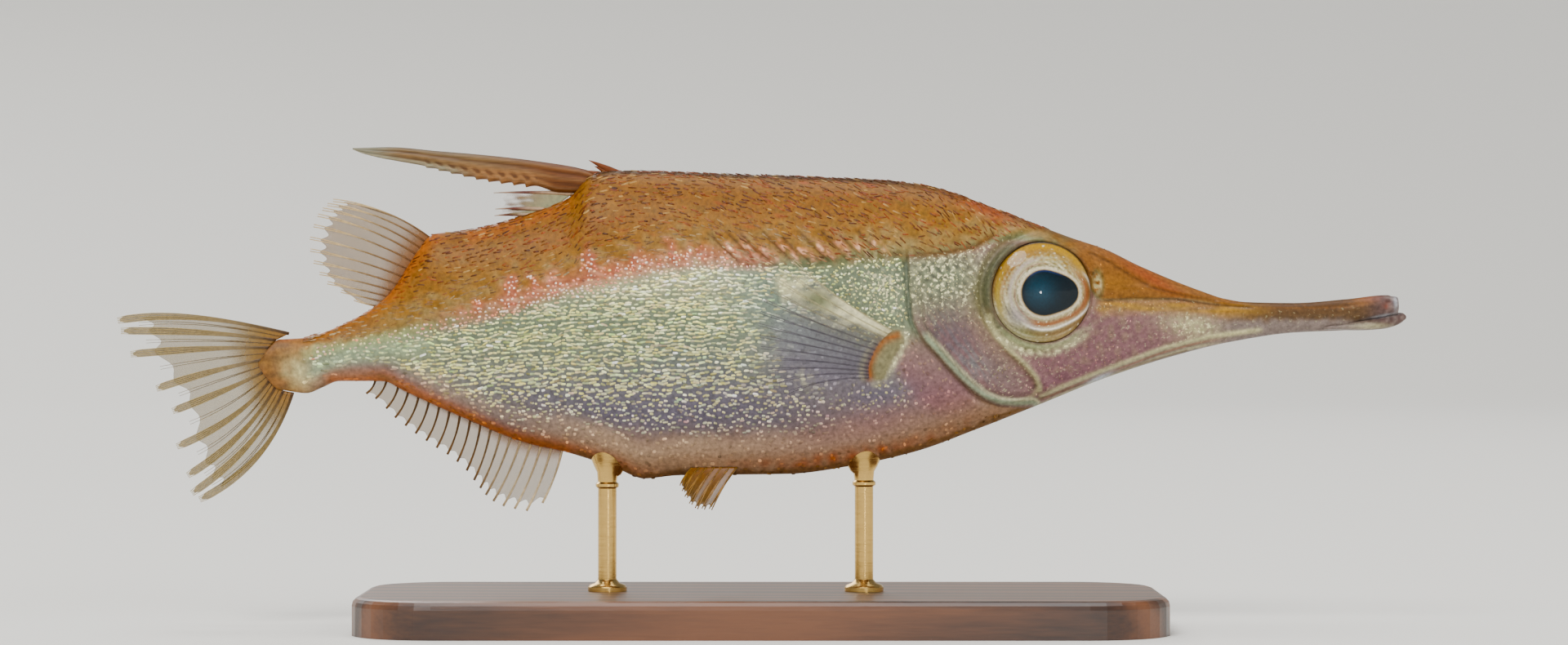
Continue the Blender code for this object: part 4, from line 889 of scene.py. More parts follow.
def scale_coat(name, hand, seed, material, zones):
    """Joined scales over one side: each small form is turned into the skin's own tangent, side
    and normal, and takes its colour from the paint at its root. Scales in pearly paint have a
    painted highlight along their crests and painted shade at their edges, those in the brown back
    are dark dashes in a lighter one."""
    draw = np.random.default_rng(seed)
    x, z, t, t_ahead, kind, length, pitch, laid = sown(zones, draw)
    count, corners = len(x), len(SCALE_FORM)
    root = surface_at(x, t)
    tangent = surface_at(x + STEP, t_ahead) - root
    tangent /= np.linalg.norm(tangent, axis=1, keepdims=True)
    up = surface_at(x, np.clip(t + 0.02, -1, 1)) - surface_at(x, np.clip(t - 0.02, -1, 1))
    normal = np.cross(tangent, up)
    normal *= np.sign(normal[:, 1:2]) / np.linalg.norm(normal, axis=1, keepdims=True)
    axes = np.stack([tangent, np.cross(normal, tangent), normal], axis=1)

    # The colour of each scale
    pearly = np.where(kind == BACK, ramp(laid["shine"], 0.15, 0.3) * (x < PEARLY_END), 1.0)
    marked = ramp(laid["contrast"], 0.1, 0.8)
    # A band of painted shade along the middle of the flank: duller crests and darker gaps
    low, flank_shade = ramp(-z, -27.0, -23.0), near(z - FLANK_SHADE_HEIGHT, FLANK_SHADE_WIDTH)
    uneven = (0.2 + 0.3 * marked) * pearly + 0.1
    glow = np.exp(draw.normal(0, uneven, count) + 0.16 * pearly * wander(x, z, 2.4, 52))
    glow = glow * (1 + 0.25 * marked * pearly)
    dark = ((1 - pearly) * draw.uniform(0.5, 1.0, count))[:, None]
    dash = blend("#3E1C06", "#8A3C10", draw.uniform(0, 1, count) ** 2)
    dash = np.where(draw.uniform(0, 1, (count, 1)) < 0.1, linear("#A07A40"), dash)
    faded = ramp(CAP_LINE(x) - z + wander(x, z, 3.0, 55), -5.0, -1.0) * ramp(-x, -9.0, -3.0)
    dash = mix(dash, blend("#6A4A2C", "#A08C64", draw.uniform(0, 1, count)), faded)
    warm, pale = draw.uniform(0, 1, (2, count))
    flame = ramp(z - CAP_LINE(x), -1.6, -0.2) * ramp(-x, -2.0, 2.0) * pearly
    # The crests' painted highlight: pale grey to yellow-white, coral to pale pink in the flames
    light = blend("#D8DCD0", "#FFF27E", ramp(z, 18.0, 27.0) * (0.3 + 0.9 * warm)) * (1 - 0.1 * flank_shade)[:, None]
    light = mix(light, blend("#F87850", "#FFE4D4", 1.3 * pale), flame)
    vary = np.exp(draw.normal(0, 1, (count, 3)) * (0.12 * pearly * marked)[:, None])
    colour = laid["colour"] * vary * glow[:, None] * (1 - dark) + dash * dark

    # Its size and lean
    stretch = np.where(kind == HEAD, draw.uniform(0.55, 1.1, count), draw.uniform(0.8, 1.9, count))
    short = np.max([ramp(x, 4.0, 9.0) * (kind != BACK), 0.8 * low, flame], axis=0)
    long = length * stretch * (0.7 + 0.3 * pearly) * (1 - 0.55 * short)
    wide = pitch * np.where(kind == HEAD, draw.uniform(0.42, 0.8, count), draw.uniform(0.75, 1.0, count))
    wide *= (0.55 + 0.45 * pearly) * (1 - 0.25 * low)
    tall = np.where(kind == HEAD, 0.05, 0.06) * draw.uniform(0.6, 1.5, count)
    tall *= 0.4 + 0.6 * np.maximum(marked * pearly, 0.6 * (kind == BACK))
    form = SCALE_FORM * np.stack([long, wide, tall], axis=1)[:, None]
    lean = draw.normal(0, 0.12 + 0.16 * ramp(x, 6.0, 10.0), count)
    lean = lean + 0.4 * (1 - pearly) * ramp(x, -14.0, -2.0)
    form[..., 2] += form[..., 1] * draw.normal(0, 0.1, count)[:, None]
    form[..., 1] += form[..., 0] * lean[:, None]
    points = root[:, None] + form @ axes
    points[..., 1] *= hand
    faces = (np.arange(count)[:, None, None] * corners + SCALE_FACES).reshape(-1, 3)
    faces = faces if hand > 0 else faces[:, ::-1]
    share = np.arcsin(np.clip(t, -1, 1)) / math.pi + 0.5
    uv = np.stack([(x - UV_START) / UV_LENGTH, UV_MARGIN + (1 - 2 * UV_MARGIN) * share], axis=1)
    uv = uv[:, None] + UV_SCALE_SIZE * SCALE_FORM[:, :2]

    # The shares of painted crest highlight and of painted gap shade at its corners
    crest_highlight = marked * pearly * draw.uniform(0.05, 1.3, count) * (0.75 + 0.25 * wander(x, z, 3.0, 54))
    crest_highlight = (np.clip(crest_highlight * (1 + flame), 0, 1)[:, None] * CREST_HIGHLIGHT_SHARE)[..., None]
    shade = ((pearly * (0.08 + 0.92 * marked))[:, None] * SHADE_SHARE)[..., None]
    # The gap's painted shade, darker in the flames and in the flank's shaded band
    gap = (0.4 * colour + 0.6 * gap_shade_colour(z)) * ((1 - 0.4 * flame) * 0.6 * (1 - 0.35 * flank_shade))[:, None]
    shaded = colour[:, None] * (1 - crest_highlight - shade) + light[:, None] * crest_highlight + gap[:, None] * shade
    coat = make_piece(
        name, points.reshape(-1, 3), faces.tolist(), material,
        {"paint": np.clip(shaded, 0, 0.95).reshape(-1, 3), "shine": np.repeat(0.4 * laid["shine"], corners)},
    )
    coat.data.set_sharp_from_angle(angle=math.radians(70))
    put_uv(coat, "OFBake", uv.reshape(-1, 2))


scale_resin = painted_resin("painted_resin_scale", 0.34, 0.02, False)
# Rows by kind, start, end, pitch, length and the line that they are counted from
FLANK_ROWS = [("flank", -52.0, 30.0, 0.38, 0.52, lateral_arc)]
OTHER_ROWS = [
    ("back", -34.0, 16.0, 0.45, 0.84, girth), ("back", -52.0, -34.0, 0.45, 0.84, lateral_arc),
    ("back", 16.0, NAPE_END, 0.44, 0.8, girth), ("head", 15.0, 46.0, 0.34, 0.46, lateral_arc),
]
for word, hand, seed in (("left", 1, 41), ("right", -1, 42)):
    scale_coat("flank_scales_" + word, hand, seed, scale_resin, FLANK_ROWS)
    scale_coat("back_scales_" + word, hand, seed + 10, scale_resin, OTHER_ROWS)

# Eyes
# Glass taxidermy eyes: a domed iris painted from behind with gold, silver and copper rings round
# a teardrop pupil, set a little forward and slightly sunk in the socket.
EYE_SIZE, EYE_RIM, EYE_TOP, EYE_TILT = 5.35, 4.25, 5.85, math.tan(math.radians(5.0))
DOME_STEPS = 84
PUPIL_X, PUPIL_R, PUPIL_TIP = 0.24, 2.42, 1.25
BULGE_SIZE, BULGE_RISE = 2.9, 0.22  # the glass stands out a little more over the pupil


def pupil_edge(angle):
    """Radius of the pupil from its middle: a circle drawn out to a blunt point at the front."""
    return PUPIL_R + PUPIL_TIP * np.maximum(np.cos(angle), 0) ** 4


def eye_paint(dx, dz):
    """Colours of the eye by the place from its middle: rings by distance outside the pupil's
    edge and from the outer rim, and patches by angle."""
    ring, angle = np.hypot(dx, dz), np.arctan2(dz, dx)
    px = dx - PUPIL_X
    turn = np.arctan2(dz, px)
    out = np.hypot(px, dz) - pupil_edge(turn)
    streak = wander(ring * 3.2 + 0.5 * np.sin(3 * angle), 1.8 * np.cos(angle) + np.sin(2 * angle), 1.3, 31)
    fine = wander(dx, dz, 0.5, 33)
    return layered("#A9A074", (
        ("#E0DAB4", 0.8 * ramp(streak + 0.7 * fine, 0.1, 1.2)),
        ("#4E4A34", 0.7 * ramp(-streak + 0.7 * fine, 0.5, 1.5)),
        ("#925A14", 0.8 * ramp(ring + 0.4 * fine, 3.3, 4.6) * ramp(np.cos(angle - 2.4), 0.35, 0.9)),
        ("#A89018", 0.7 * near(ring - 4.7, 0.35) * ramp(np.cos(angle - 2.9), 0.4, 0.9)),
        ("#77707A", 0.7 * blob(dx, dz, (-2.6, -2.6), (1.4, 1.0), -40)),
        ("#8E6A2C", 0.65 * ramp(ring, 3.9, 4.7) * ramp(np.cos(angle + 0.7), 0.2, 0.8)),
        ("#6E7036", 0.7 * blob(dx, dz, (-1.2, -4.3), (2.0, 0.6), -10)),
        ("#8A6000", 0.8 * ramp(ring + 0.4 * fine, 3.2, 4.5) * ramp(np.sin(angle), 0.1, 0.7)),
        ("#A87E08", (0.8 + 0.3 * fine) * ramp(ring, 4.4, 4.85) * ramp(np.sin(angle), 0.2, 0.7)),
        ("#B09A50", 0.5 * blob(dx, dz, (0.6, 3.5), (2.4, 0.6), -5) * ramp(fine, -0.5, 0.8)),
        ("#4E4E46", 0.8 * blob(dx, dz, (-0.9, -3.75), (0.55, 0.35))),
        ("#B0A098", 0.75 * near(out - 1.2, 0.22) * ramp(-np.cos(turn), -0.2, 0.5)),
        ("#8A5A50", 0.6 * near(out - 0.72, 0.1) * ramp(-np.cos(turn), -0.4, 0.3)),
        ("#8E5228", 0.95 * near(out - 0.95, 0.34) * ramp(np.cos(turn + 0.75), 0.05, 0.6)),
        ("#FFF6E6", 0.95 * near(out - 1.5, 0.12) * ramp(np.cos(turn + 0.85), 0.15, 0.6)),
        ("#6E5028", 0.7 * near(out - 1.95, 0.3) * ramp(np.cos(turn + 0.9), 0.2, 0.8)),
        ("#CCC0A0", 0.97 * ramp(out, -0.02, 0.1) * ramp(-out, -0.44 - 0.1 * fine, -0.28)),
        ("#5A4630", 0.6 * near(out - 0.52 - 0.05 * fine, 0.07) * ramp(np.cos(turn - 2.4), -0.2, 0.5)),
        ("#7E5A1E", 0.8 * near(out, 0.09)),
        ("#04121A", ramp(-out, -0.03, 0.06)),
        ("#06384A", 0.8 * ramp(-out, 0.05, 0.5) * blob(px, dz, (-0.5, 0.1), (1.6, 1.6))),
        ("#142A58", 0.8 * near(out + 0.1, 0.1) * ramp(np.sin(turn), 0.5, 0.95)),
        ("#3A2A18", ramp(ring, EYE_SIZE - 0.2, EYE_SIZE - 0.02)),
    ))


def glass_eye():
    """Painted glass: clear gloss over the iris, with fine fibres in its colour."""
    material, tree = new_material("painted_glass_eye")
    return finished(material, {
        "Base Color": grained_paint(tree, place_on(tree), 4200.0, 0.15)[0], "Roughness": 0.35,
        "Specular IOR Level": 0.1, "Coat Weight": 0.5, "Coat Roughness": 0.02, "Coat IOR": 1.38,
    })


def mirrored(grid):
    """A grid of tube points or of their colours for the other side: y turned over and every ring
    run the other way, so that faces still look outward."""
    flip = np.array([1, -1, 1]) if grid.ndim == 4 else 1
    return grid[:, :, ::-1] * flip


eye_material = glass_eye()
eye_turn = np.linspace(0, 2 * math.pi, 160, endpoint=False)[None, :]
share = np.concatenate([np.linspace(0.004, 1, DOME_STEPS), [1.0, 1.0]])[:, None]
sunk = np.concatenate([np.zeros(DOME_STEPS), [0.8, 2.4]])[:, None]
eye_dx, eye_dz = EYE_SIZE * share * np.cos(eye_turn), EYE_SIZE * share * np.sin(eye_turn)
bulge = BULGE_RISE * np.clip(1 - ((eye_dx - PUPIL_X) ** 2 + eye_dz**2) / BULGE_SIZE**2, 0, 1)
dome = (EYE_TOP - EYE_RIM) * (1 - share**2.2) ** 0.9 * 0.86
eye_y = EYE_RIM + dome + bulge - sunk - EYE_TILT * eye_dx
eye_points = np.stack([EYE_X + eye_dx, eye_y, EYE_Z + eye_dz], axis=-1)[None]
eye_colour = eye_paint(eye_dx, eye_dz)[None]
for word, points, colour in (
    ("left", eye_points, eye_colour), ("right", mirrored(eye_points), eye_colour[:, :, ::-1]),
):
    flat_points, faces = joined_tubes(points)
    eye = make_piece("eye_ball_" + word, flat_points, faces, eye_material, {"paint": colour.reshape(-1, 3)})
    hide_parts("eye_" + word)

# Dorsal spines
# The great second spine is a tapered bony blade, grooved lengthwise, with overlapping barbs along
# its lower edge. Ahead of it a small hooked thorn rises from the ridge of the back.
SPINE_TOP = line_through([
    (-17.5, 48.6), (-18.9, 49.2), (-23.7, 50.05), (-29.1, 50.7), (-34.9, 51.2), (-39.8, 51.6), (-43.8, 51.5),
])
SPINE_FOOT = line_through([
    (-17.5, 46.6), (-21.6, 46.7), (-24.0, 47.4), (-29.3, 48.1), (-32.7, 48.8), (-35.8, 49.5), (-42.7, 50.9),
    (-43.8, 51.35),
])
BARB_START, BARB_END, BARBS, BARB_SIZE = -24.0, -36.0, 9, 0.42


def spine_paint(x, share, groove):
    """Bone colours along the spine: red-brown root, pinkish grey blade, pale blue-white point."""
    return layered("#6A4F2C", (
        ("#643814", ramp(x, -31.0, -21.0)),
        ("#96663A", 0.7 * ramp(x, -35.0, -29.0) * ramp(-x, 22.0, 24.5) * ramp(-share, -0.3, 0.3)),
        ("#5E543C", 0.5 * ramp(-x, 28.0, 34.0) * ramp(share, 0.2, 0.8)),
        ("#747460", ramp(-x, 38.0, 42.5)),
        ("#A09C80", 0.7 * near(share + 0.75, 0.25) * ramp(-x, 30.0, 34.0)),
        ("#42200E", 0.65 * ramp(-groove, 0.2, 0.9)),
        ("#8E6C48", 0.4 * ramp(groove, 0.2, 0.9)),
    ))


def bone():
    """Bony spine, wet and slightly clear: soft gloss, light passing a little way in, and a grain
    drawn out along the blade."""
    material, tree = new_material("wet_spine_bone")
    colour, grain = grained_paint(tree, place_on(tree, Scale=(0.12, 1.0, 1.0)), 5000.0, 0.25)
    return finished(material, {
        "Base Color": colour, "Normal": bumped(tree, 0.5, 0.04, grain), "Roughness": 0.36,
        "Specular IOR Level": 0.16, "Subsurface Weight": 0.08, "Subsurface Radius": (1.0, 0.5, 0.3),
        "Subsurface Scale": 0.4 * MM,
    })


spine_bone = bone()
spine_x = np.linspace(-17.8, -43.78, 260)[:, None]
turn = np.linspace(0, 2 * math.pi, 56, endpoint=False)[None, :]
saw = (spine_x - BARB_START) / (BARB_END - BARB_START) * BARBS
barbed = (saw > 0) & (saw < BARBS)
barb = BARB_SIZE * barbed * (np.abs(saw) % 1) ** 1.6 * ramp(1 - np.abs(saw) % 1, 0, 0.1) * (1 - 0.06 * saw)
top, foot = SPINE_TOP(spine_x), SPINE_FOOT(spine_x)
share = np.cos(turn)
blade = 0.75 * np.minimum(1.0, (spine_x + 44.4) / 12.0) + 0.08
groove = np.cos(8 * np.arccos(share))
hatch = near(share + 0.55, 0.35) * np.sin(2 * math.pi * (saw - 0.9 * (share + 0.5))) * barbed
spine_wide = blade * np.abs(np.sin(turn)) ** 0.8 * (1 + 0.07 * groove + 0.1 * hatch)
spine_z = (top + foot) / 2 + (top - foot) / 2 * share - barb * np.maximum(-share, 0) ** 2
spine_colour = spine_paint(*np.broadcast_arrays(spine_x, share, 0.7 * groove + 0.6 * hatch)).reshape(-1, 3)
spine_points, spine_faces = loft(spine_x, np.sign(np.sin(turn)) * spine_wide, spine_z)
long_spine = make_piece("great_spine", spine_points, spine_faces, spine_bone, {"paint": spine_colour})
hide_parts("dorsal_spine_long")

# Each thorn is a cone swept along a short backward curve: foot, bend, tip and thickness
THORNS = [
    ((-15.3, 48.6), (-16.9, 49.5), (-18.5, 50.2), 0.5), ((-16.3, 48.7), (-17.2, 49.3), (-17.9, 49.55), 0.34),
    ((-16.9, 48.5), (-18.0, 48.9), (-19.0, 49.05), 0.38),
]
along = np.linspace(0, 1, 24)[None, :, None, None]
turn = clockwise(16)[..., None, :, None]
foot, bend, tip = (np.array([thorn[k] for thorn in THORNS])[:, None, None, :] for k in range(3))
spot = foot * (1 - along) ** 2 + 2 * bend * along * (1 - along) + tip * along**2
run = 2 * (bend - foot) * (1 - along) + 2 * (tip - bend) * along
run = run / np.linalg.norm(run, axis=-1, keepdims=True)
size = np.array([thorn[3] for thorn in THORNS])[:, None, None, None] * (1 - 0.96 * along**1.3)
thorn_x = spot[..., 0:1] - run[..., 1:2] * size * np.cos(turn)
thorn_z = spot[..., 1:2] + run[..., 0:1] * size * np.cos(turn)
thorn_y = 0.7 * size * np.sin(turn)
thorn_points, thorn_faces = joined_tubes(np.concatenate([thorn_x, thorn_y, thorn_z], axis=-1))
thorn_colour = linear("#6A3412") * (1 + 0.5 * ramp(-thorn_points[:, 0], 17.6, 18.6))[:, None]
thorn = make_piece("small_spine", thorn_points, thorn_faces, spine_bone, {"paint": thorn_colour})
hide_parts("dorsal_spine_small")

# Tail fin
# Cast in clear resin: nine main rays fan out from the fleshy tail root, each a flat olive band that
# widens outward with darker strands along its edges, and a thin film between them.
def fin_resin(name, roughness):
    """Clear tinted casting resin: warm, glossy, and as see-through as its attribute says."""
    material, tree = new_material(name)
    return finished(material, {
        "Base Color": grained_paint(tree, place_on(tree), 2600.0, 0.2)[0], "Alpha": stored(tree, "body"),
        "Roughness": roughness, "Specular IOR Level": 0.4,
    })


ray_resin, film_resin = fin_resin("clear_resin_ray", 0.35), fin_resin("clear_resin_film", 0.3)
FILM_COLUMNS, FILM_ROWS = 8, 28  # steps of a film between two rays and along them


def bent(feet, bends, tips):
    """Ray courses as quadratic curves: arrays (rays, 3 places, 2) of foot, bend and tip."""
    return np.stack([np.asarray(places, float) for places in (feet, bends, tips)], axis=1)


def on_fin(courses, number, share):
    """The (x, z) at a share of the way along a ray, or between two rays by straight blending."""
    low = np.clip(np.floor(number).astype(int), 0, len(courses) - 2)
    f = (number - low)[..., None]
    s = np.asarray(share)[..., None]
    weights = [(1 - s) ** 2, 2 * s * (1 - s), s**2]
    return sum(w * (courses[low, k] * (1 - f) + courses[low + 1, k] * f) for k, w in enumerate(weights))


def fin_rods(courses, lie, offsets, across, thick, shares, around):
    """Closed tapered rods, one for each branch: a branch runs beside its ray's course by its
    offset in the fin's plane, with an oval section 'across' wide and 'thick' deep. Gives the
    points and, for each, the share along its ray and the ray's number."""
    rays, branches = len(courses), len(offsets)
    number = np.repeat(np.arange(rays, dtype=float), branches)[:, None] + np.zeros((1, len(shares)))
    s = np.broadcast_to(shares, number.shape)
    spot = on_fin(courses, number, s)
    run = on_fin(courses, number, np.minimum(s + 0.01, 1.01)) - on_fin(courses, number, s - 0.01)
    run /= np.linalg.norm(run, axis=-1, keepdims=True)
    plane = np.stack([-run[..., 1], run[..., 0]], axis=-1)
    spot = spot + plane * np.tile(np.asarray(offsets), (rays, 1))[..., None]
    turn = clockwise(around)[0]
    wide = np.tile(across, (rays, 1))[..., None] * np.cos(turn)
    deep = np.tile(thick, (rays, 1))[..., None] * np.sin(turn)
    x = spot[..., 0:1] + plane[..., 0:1] * wide
    z = spot[..., 1:2] + plane[..., 1:2] * wide
    y = lie(spot[..., 0], spot[..., 1], number, s)[..., None] + deep
    return np.stack([x, y, z], axis=-1), *(np.broadcast_to(v[..., None], x.shape) for v in (s, number))


def fin_film(courses, lie, reach, thick):
    """A thin closed sheet over all the rays, its edge scalloped a little between them. Gives the
    points and, for each, the share along the rays and the ray number."""
    gaps = len(courses) - 1
    number = np.linspace(0, gaps, gaps * FILM_COLUMNS + 1)[:, None]
    between = np.sin(math.pi * (number % 1)) ** 2
    s = np.linspace(0, 1, FILM_ROWS)[None, :] * (reach - 0.06 * between)
    number = np.broadcast_to(number, s.shape)
    spot = on_fin(courses, number, s)
    middle = lie(spot[..., 0], spot[..., 1], number, s)
    run, across = courses[0, 2] - courses[0, 0], courses[-1, 1] - courses[0, 1]
    half = thick * (1 - 0.7 * s) * np.sign(run[1] * across[0] - run[0] * across[1])
    front = np.stack([spot[..., 0], middle + half, spot[..., 1]], axis=-1)
    rear = np.stack([spot[..., 0], middle - half, spot[..., 1]], axis=-1)
    sides = ((front, rear), (s, s), (number, number))
    return [np.concatenate([a, b[:, ::-1]], axis=1)[None] for a, b in sides]


def build_fin(node, word, material, pieces):
    """Joins grids of tubes, with their colours and how solid they look, to one piece of a fin."""
    points, faces, colours, bodies = [], [], [], []
    for grid, colour, body in pieces:
        first = sum(len(p) for p in points)
        flat, some = joined_tubes(grid)
        points.append(flat)
        faces += [[corner + first for corner in face] for face in some]
        colours.append(np.broadcast_to(colour, (*grid.shape[:3], 3)).reshape(-1, 3))
        bodies.append(np.broadcast_to(body, grid.shape[:3]).reshape(-1))
    piece = make_piece(
        node + "_" + word, np.concatenate(points), faces, material,
        {"paint": np.concatenate(colours), "body": np.concatenate(bodies)},
    )
    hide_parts(node)


def clear_film(node, courses, reach, codes, turning, body, foot_end):
    """A fin's film in the middle plane: its colour turns from one code to the other along the
    rays, and it clears outward from its foot, by a least and a further share of body."""
    film, s, _ = fin_film(courses, flat_lie, reach, 0.05)
    solid = body[0] + body[1] * ramp(-s, -foot_end[0], -foot_end[1])
    build_fin(node, "film", film_resin, [(film, blend(*codes, turning * s), solid)])


def flat_lie(x, z, number, s):
    """A fin in the middle plane with small pleats: every other ray stands to the other side."""
    return 0.14 * np.cos(math.pi * number) * s


def middle_lie(x, z, number, s):
    """Right in the middle plane, as halfway between two pleated rays."""
    return 0.0 * s


TAIL_FEET = [
    (-50.6, 31.6), (-52.0, 30.9), (-52.6, 30.1), (-52.9, 28.9), (-52.9, 27.7), (-52.6, 26.7), (-52.0, 26.0),
    (-51.2, 25.5), (-50.2, 25.3),
]
TAIL_BENDS = [
    (-61.8, 34.4), (-59.0, 32.0), (-59.5, 30.2), (-58.5, 27.9), (-57.0, 25.6), (-55.8, 22.3), (-55.2, 20.2),
    (-54.0, 19.2), (-52.6, 17.6),
]
TAIL_TIPS = [
    (-69.0, 33.0), (-68.6, 31.9), (-67.6, 29.4), (-64.8, 25.7), (-63.1, 23.3), (-62.6, 19.5), (-61.5, 16.4),
    (-61.0, 14.5), (-60.2, 13.8),
]
tail_courses = bent(TAIL_FEET, TAIL_BENDS, TAIL_TIPS)
shares = np.linspace(0.0, 1.0, 44)
band_wide = 0.13 + 0.29 * ramp(shares, 0.1, 0.85)
blunt = np.sqrt(np.clip(1 - (np.maximum(shares - 0.9, 0) / 0.085) ** 2, 0.01, 1))
band, band_s, _ = fin_rods(
    tail_courses, flat_lie, [0 * shares], (band_wide * blunt)[None], (0.1 - 0.06 * shares)[None],
    np.minimum(shares, 0.985), 10,
)
# Five fine strands run along each flat ray, dark at its root and pale at its tip
strand_edge = (band_wide - 0.04) * (1 - 0.25 * ramp(shares, 0.93, 1.0))
strand_off = [strand_edge * f for f in (1.0, 0.5, 0.0, -0.5, -1.0)]
strand_size = np.tile(0.085 - 0.05 * shares, (len(strand_off), 1))
strand, strand_s, _ = fin_rods(tail_courses, flat_lie, strand_off, strand_size, 1.5 * strand_size, shares, 6)
# Thin double rays lie halfway between the main ones and end a little short of the fin's edge
between = 0.5 * (tail_courses[:-1] + tail_courses[1:])
between[:, 2] = 0.25 * between[:, 1] + 0.75 * between[:, 2]
thin_off = [0.16 * shares, -0.16 * shares]
thin, thin_s, _ = fin_rods(between, middle_lie, thin_off, 0.7 * strand_size[:2], strand_size[:2], shares, 6)
build_fin("caudal_fin", "rays", ray_resin, [
    (band, blend("#5E3E12", "#7C6632", band_s), 0.62),
    (strand, blend("#50300A", "#B09A60", strand_s * 1.2), 0.85),
    (thin, blend("#5E4214", "#7A6434", thin_s), 0.7),
])
clear_film("caudal_fin", tail_courses, 0.84, ("#80540C", "#7C6410"), 3, (0.4, 0.5), (0.4, 0.05))

# Soft dorsal, anal and spiny dorsal fins
# Fine rays in a clear film in the middle plane: twelve rays at the rear of the back, nineteen
# under the tail, and three short spines with a pale film behind the great spine.
def foot_on(outline, front, rear, count, sunk):
    """Ray feet spaced along the back or belly outline, sunk into the body by some mm."""
    x = np.linspace(front, rear, count)
    slope = (outline(x + 0.2) - outline(x - 0.2)) / 0.4
    size = np.sqrt(1 + slope**2)
    return np.stack([x + slope / size * sunk, outline(x) - sunk / size], axis=-1)


def along_rays(points, count):
    """Spreads a few named places, or other values, evenly over the rays by smooth lines."""
    numbers = np.linspace(0, count - 1, len(points))
    rays = np.arange(count)
    return np.stack([line_through(list(zip(numbers, values)))(rays) for values in zip(*points)], axis=-1)


def with_bow(feet, tips, bow):
    """Ray courses from foot to tip, pushed sideways so that the curve bows by 'bow'."""
    run = tips - feet
    normal = np.stack([-run[:, 1], run[:, 0]], axis=-1) / np.linalg.norm(run, axis=1)[:, None]
    return bent(feet, (feet + tips) / 2 + 2 * normal * np.asarray(bow)[:, None], tips)


def forked_rods(courses, lie, fork, thick):
    """Rays that split in two branches, 'fork' to each side, with a round section."""
    section = np.tile(thick, (2, 1))
    return fin_rods(courses, lie, [fork, -fork], section, section, shares, 6)


shares = np.linspace(0.0, 1.0, 30)
fork, thick = 0.13 * ramp(shares, 0.5, 1.0), 0.12 - 0.07 * shares
SOFT_RAYS, ANAL_RAYS = 12, 19
soft_feet = foot_on(back, -35.6, -40.9, SOFT_RAYS, 0.5)
SOFT_TIPS = [(-45.9, 45.9), (-47.4, 44.5), (-48.4, 41.2), (-47.2, 37.8), (-43.6, 35.3)]
soft_tips = along_rays(SOFT_TIPS, SOFT_RAYS)
soft_courses = with_bow(soft_feet, soft_tips, np.linspace(-0.85, 0.15, SOFT_RAYS))
rods, rods_s, _ = forked_rods(soft_courses, flat_lie, fork, thick)
build_fin("dorsal_fin_soft", "rays", ray_resin, [(rods, blend("#7A4614", "#C4A878", rods_s * 1.5), 0.95)])
clear_film("dorsal_fin_soft", soft_courses, 0.9, ("#7A4404", "#7E5A10"), 2.5, (0.46, 0.45), (0.3, 0.0))

anal_feet = foot_on(belly, -21.4, -41.3, ANAL_RAYS, -0.5)
ray_numbers = np.arange(ANAL_RAYS)
reach = line_through([
    (0, 6.4), (1, 7.6), (3, 7.7), (6, 6.7), (9, 5.1), (13, 4.1), (16, 3.1), (18, 2.1),
])(ray_numbers)
lean = np.radians(line_through([(0, 20.0), (4, 24.0), (8, 16.0), (18, 30.0)])(ray_numbers))
anal_tips = anal_feet + np.stack([-np.sin(lean), -np.cos(lean)], axis=-1) * reach[:, None]
anal_courses = with_bow(anal_feet, anal_tips, np.full(ANAL_RAYS, 0.25))
rods, _, _ = forked_rods(anal_courses, flat_lie, 0.5 * fork, 1.25 * thick)
ray_colour = blend("#CCB48A", "#5E3E12", ramp(-rods[..., 0], 25.0, 31.0))
build_fin("anal_fin", "rays", ray_resin, [(rods, ray_colour, 0.95)])
clear_film("anal_fin", anal_courses, 0.9, ("#7E4608", "#7C5C10"), 3, (0.4, 0.45), (0.25, 0.0))

spiny_feet = np.array([(-20.2, 46.6), (-21.6, 45.6), (-23.2, 44.9), (-24.6, 44.3)])
spiny_tips = np.array([(-28.7, 46.7), (-28.6, 46.2), (-28.5, 44.95), (-28.6, 44.25)])
spiny_courses = with_bow(spiny_feet, spiny_tips, np.full(len(spiny_feet), -0.1))
spike = (0.27 - 0.23 * shares**1.2)[None]
rods, rods_s, _ = fin_rods(spiny_courses[[0, 2, 3]], flat_lie, [0 * shares], spike, 0.9 * spike, shares, 10)
film, film_s, _ = fin_film(spiny_courses, flat_lie, 0.88, 0.09)
ray_colour = blend("#A88A6A", "#561A06", near(rods_s - 0.62, 0.25))
build_fin("dorsal_fin_spiny", "rays", ray_resin, [(rods, ray_colour, 1.0)])
ragged = film_s + 0.12 * wander(film[..., 0], 3.0 * film[..., 2], 2.0, 71)
film_colour, film_body = blend("#9A9C70", "#7A4C22", 1.3 * film_s), 0.8 - 0.75 * ramp(ragged, 0.35, 0.85)
build_fin("dorsal_fin_spiny", "film", film_resin, [(film, film_colour, film_body)])

# Paired fins
# The pectoral fins stand off the flanks behind their fleshy lobes, clear but for fine brown rays
# and cream painted highlight on their upper part. The small golden pelvic fins hang beside the keel.
PECTORAL_FLARE, PELVIC_SPREAD = 5.5, 1.35


def beside_flank(x, z, number, s):
    """Just under the skin at the foot, then off the flank, the more the farther out."""
    off = -0.35 + 0.9 * ramp(s, 0.0, 0.12) + PECTORAL_FLARE * np.abs(s) ** 1.6
    return side(x, place_at(x, z), detail=False) + off + 0.15 * np.cos(math.pi * number) * s


def beside_keel(x, z, number, s):
    return PELVIC_SPREAD + 1.9 * s + 0.08 * np.cos(math.pi * number) * s


def build_pair(node, word, material, grid, colour, body):
    """Builds the left fin's piece and its mirror image on the right."""
    body = np.broadcast_to(body, grid.shape[:3])
    build_fin(node + "_left", word, material, [(grid, colour, body)])
    build_fin(node + "_right", word, material, [(mirrored(grid), colour[:, :, ::-1], body[:, :, ::-1])])


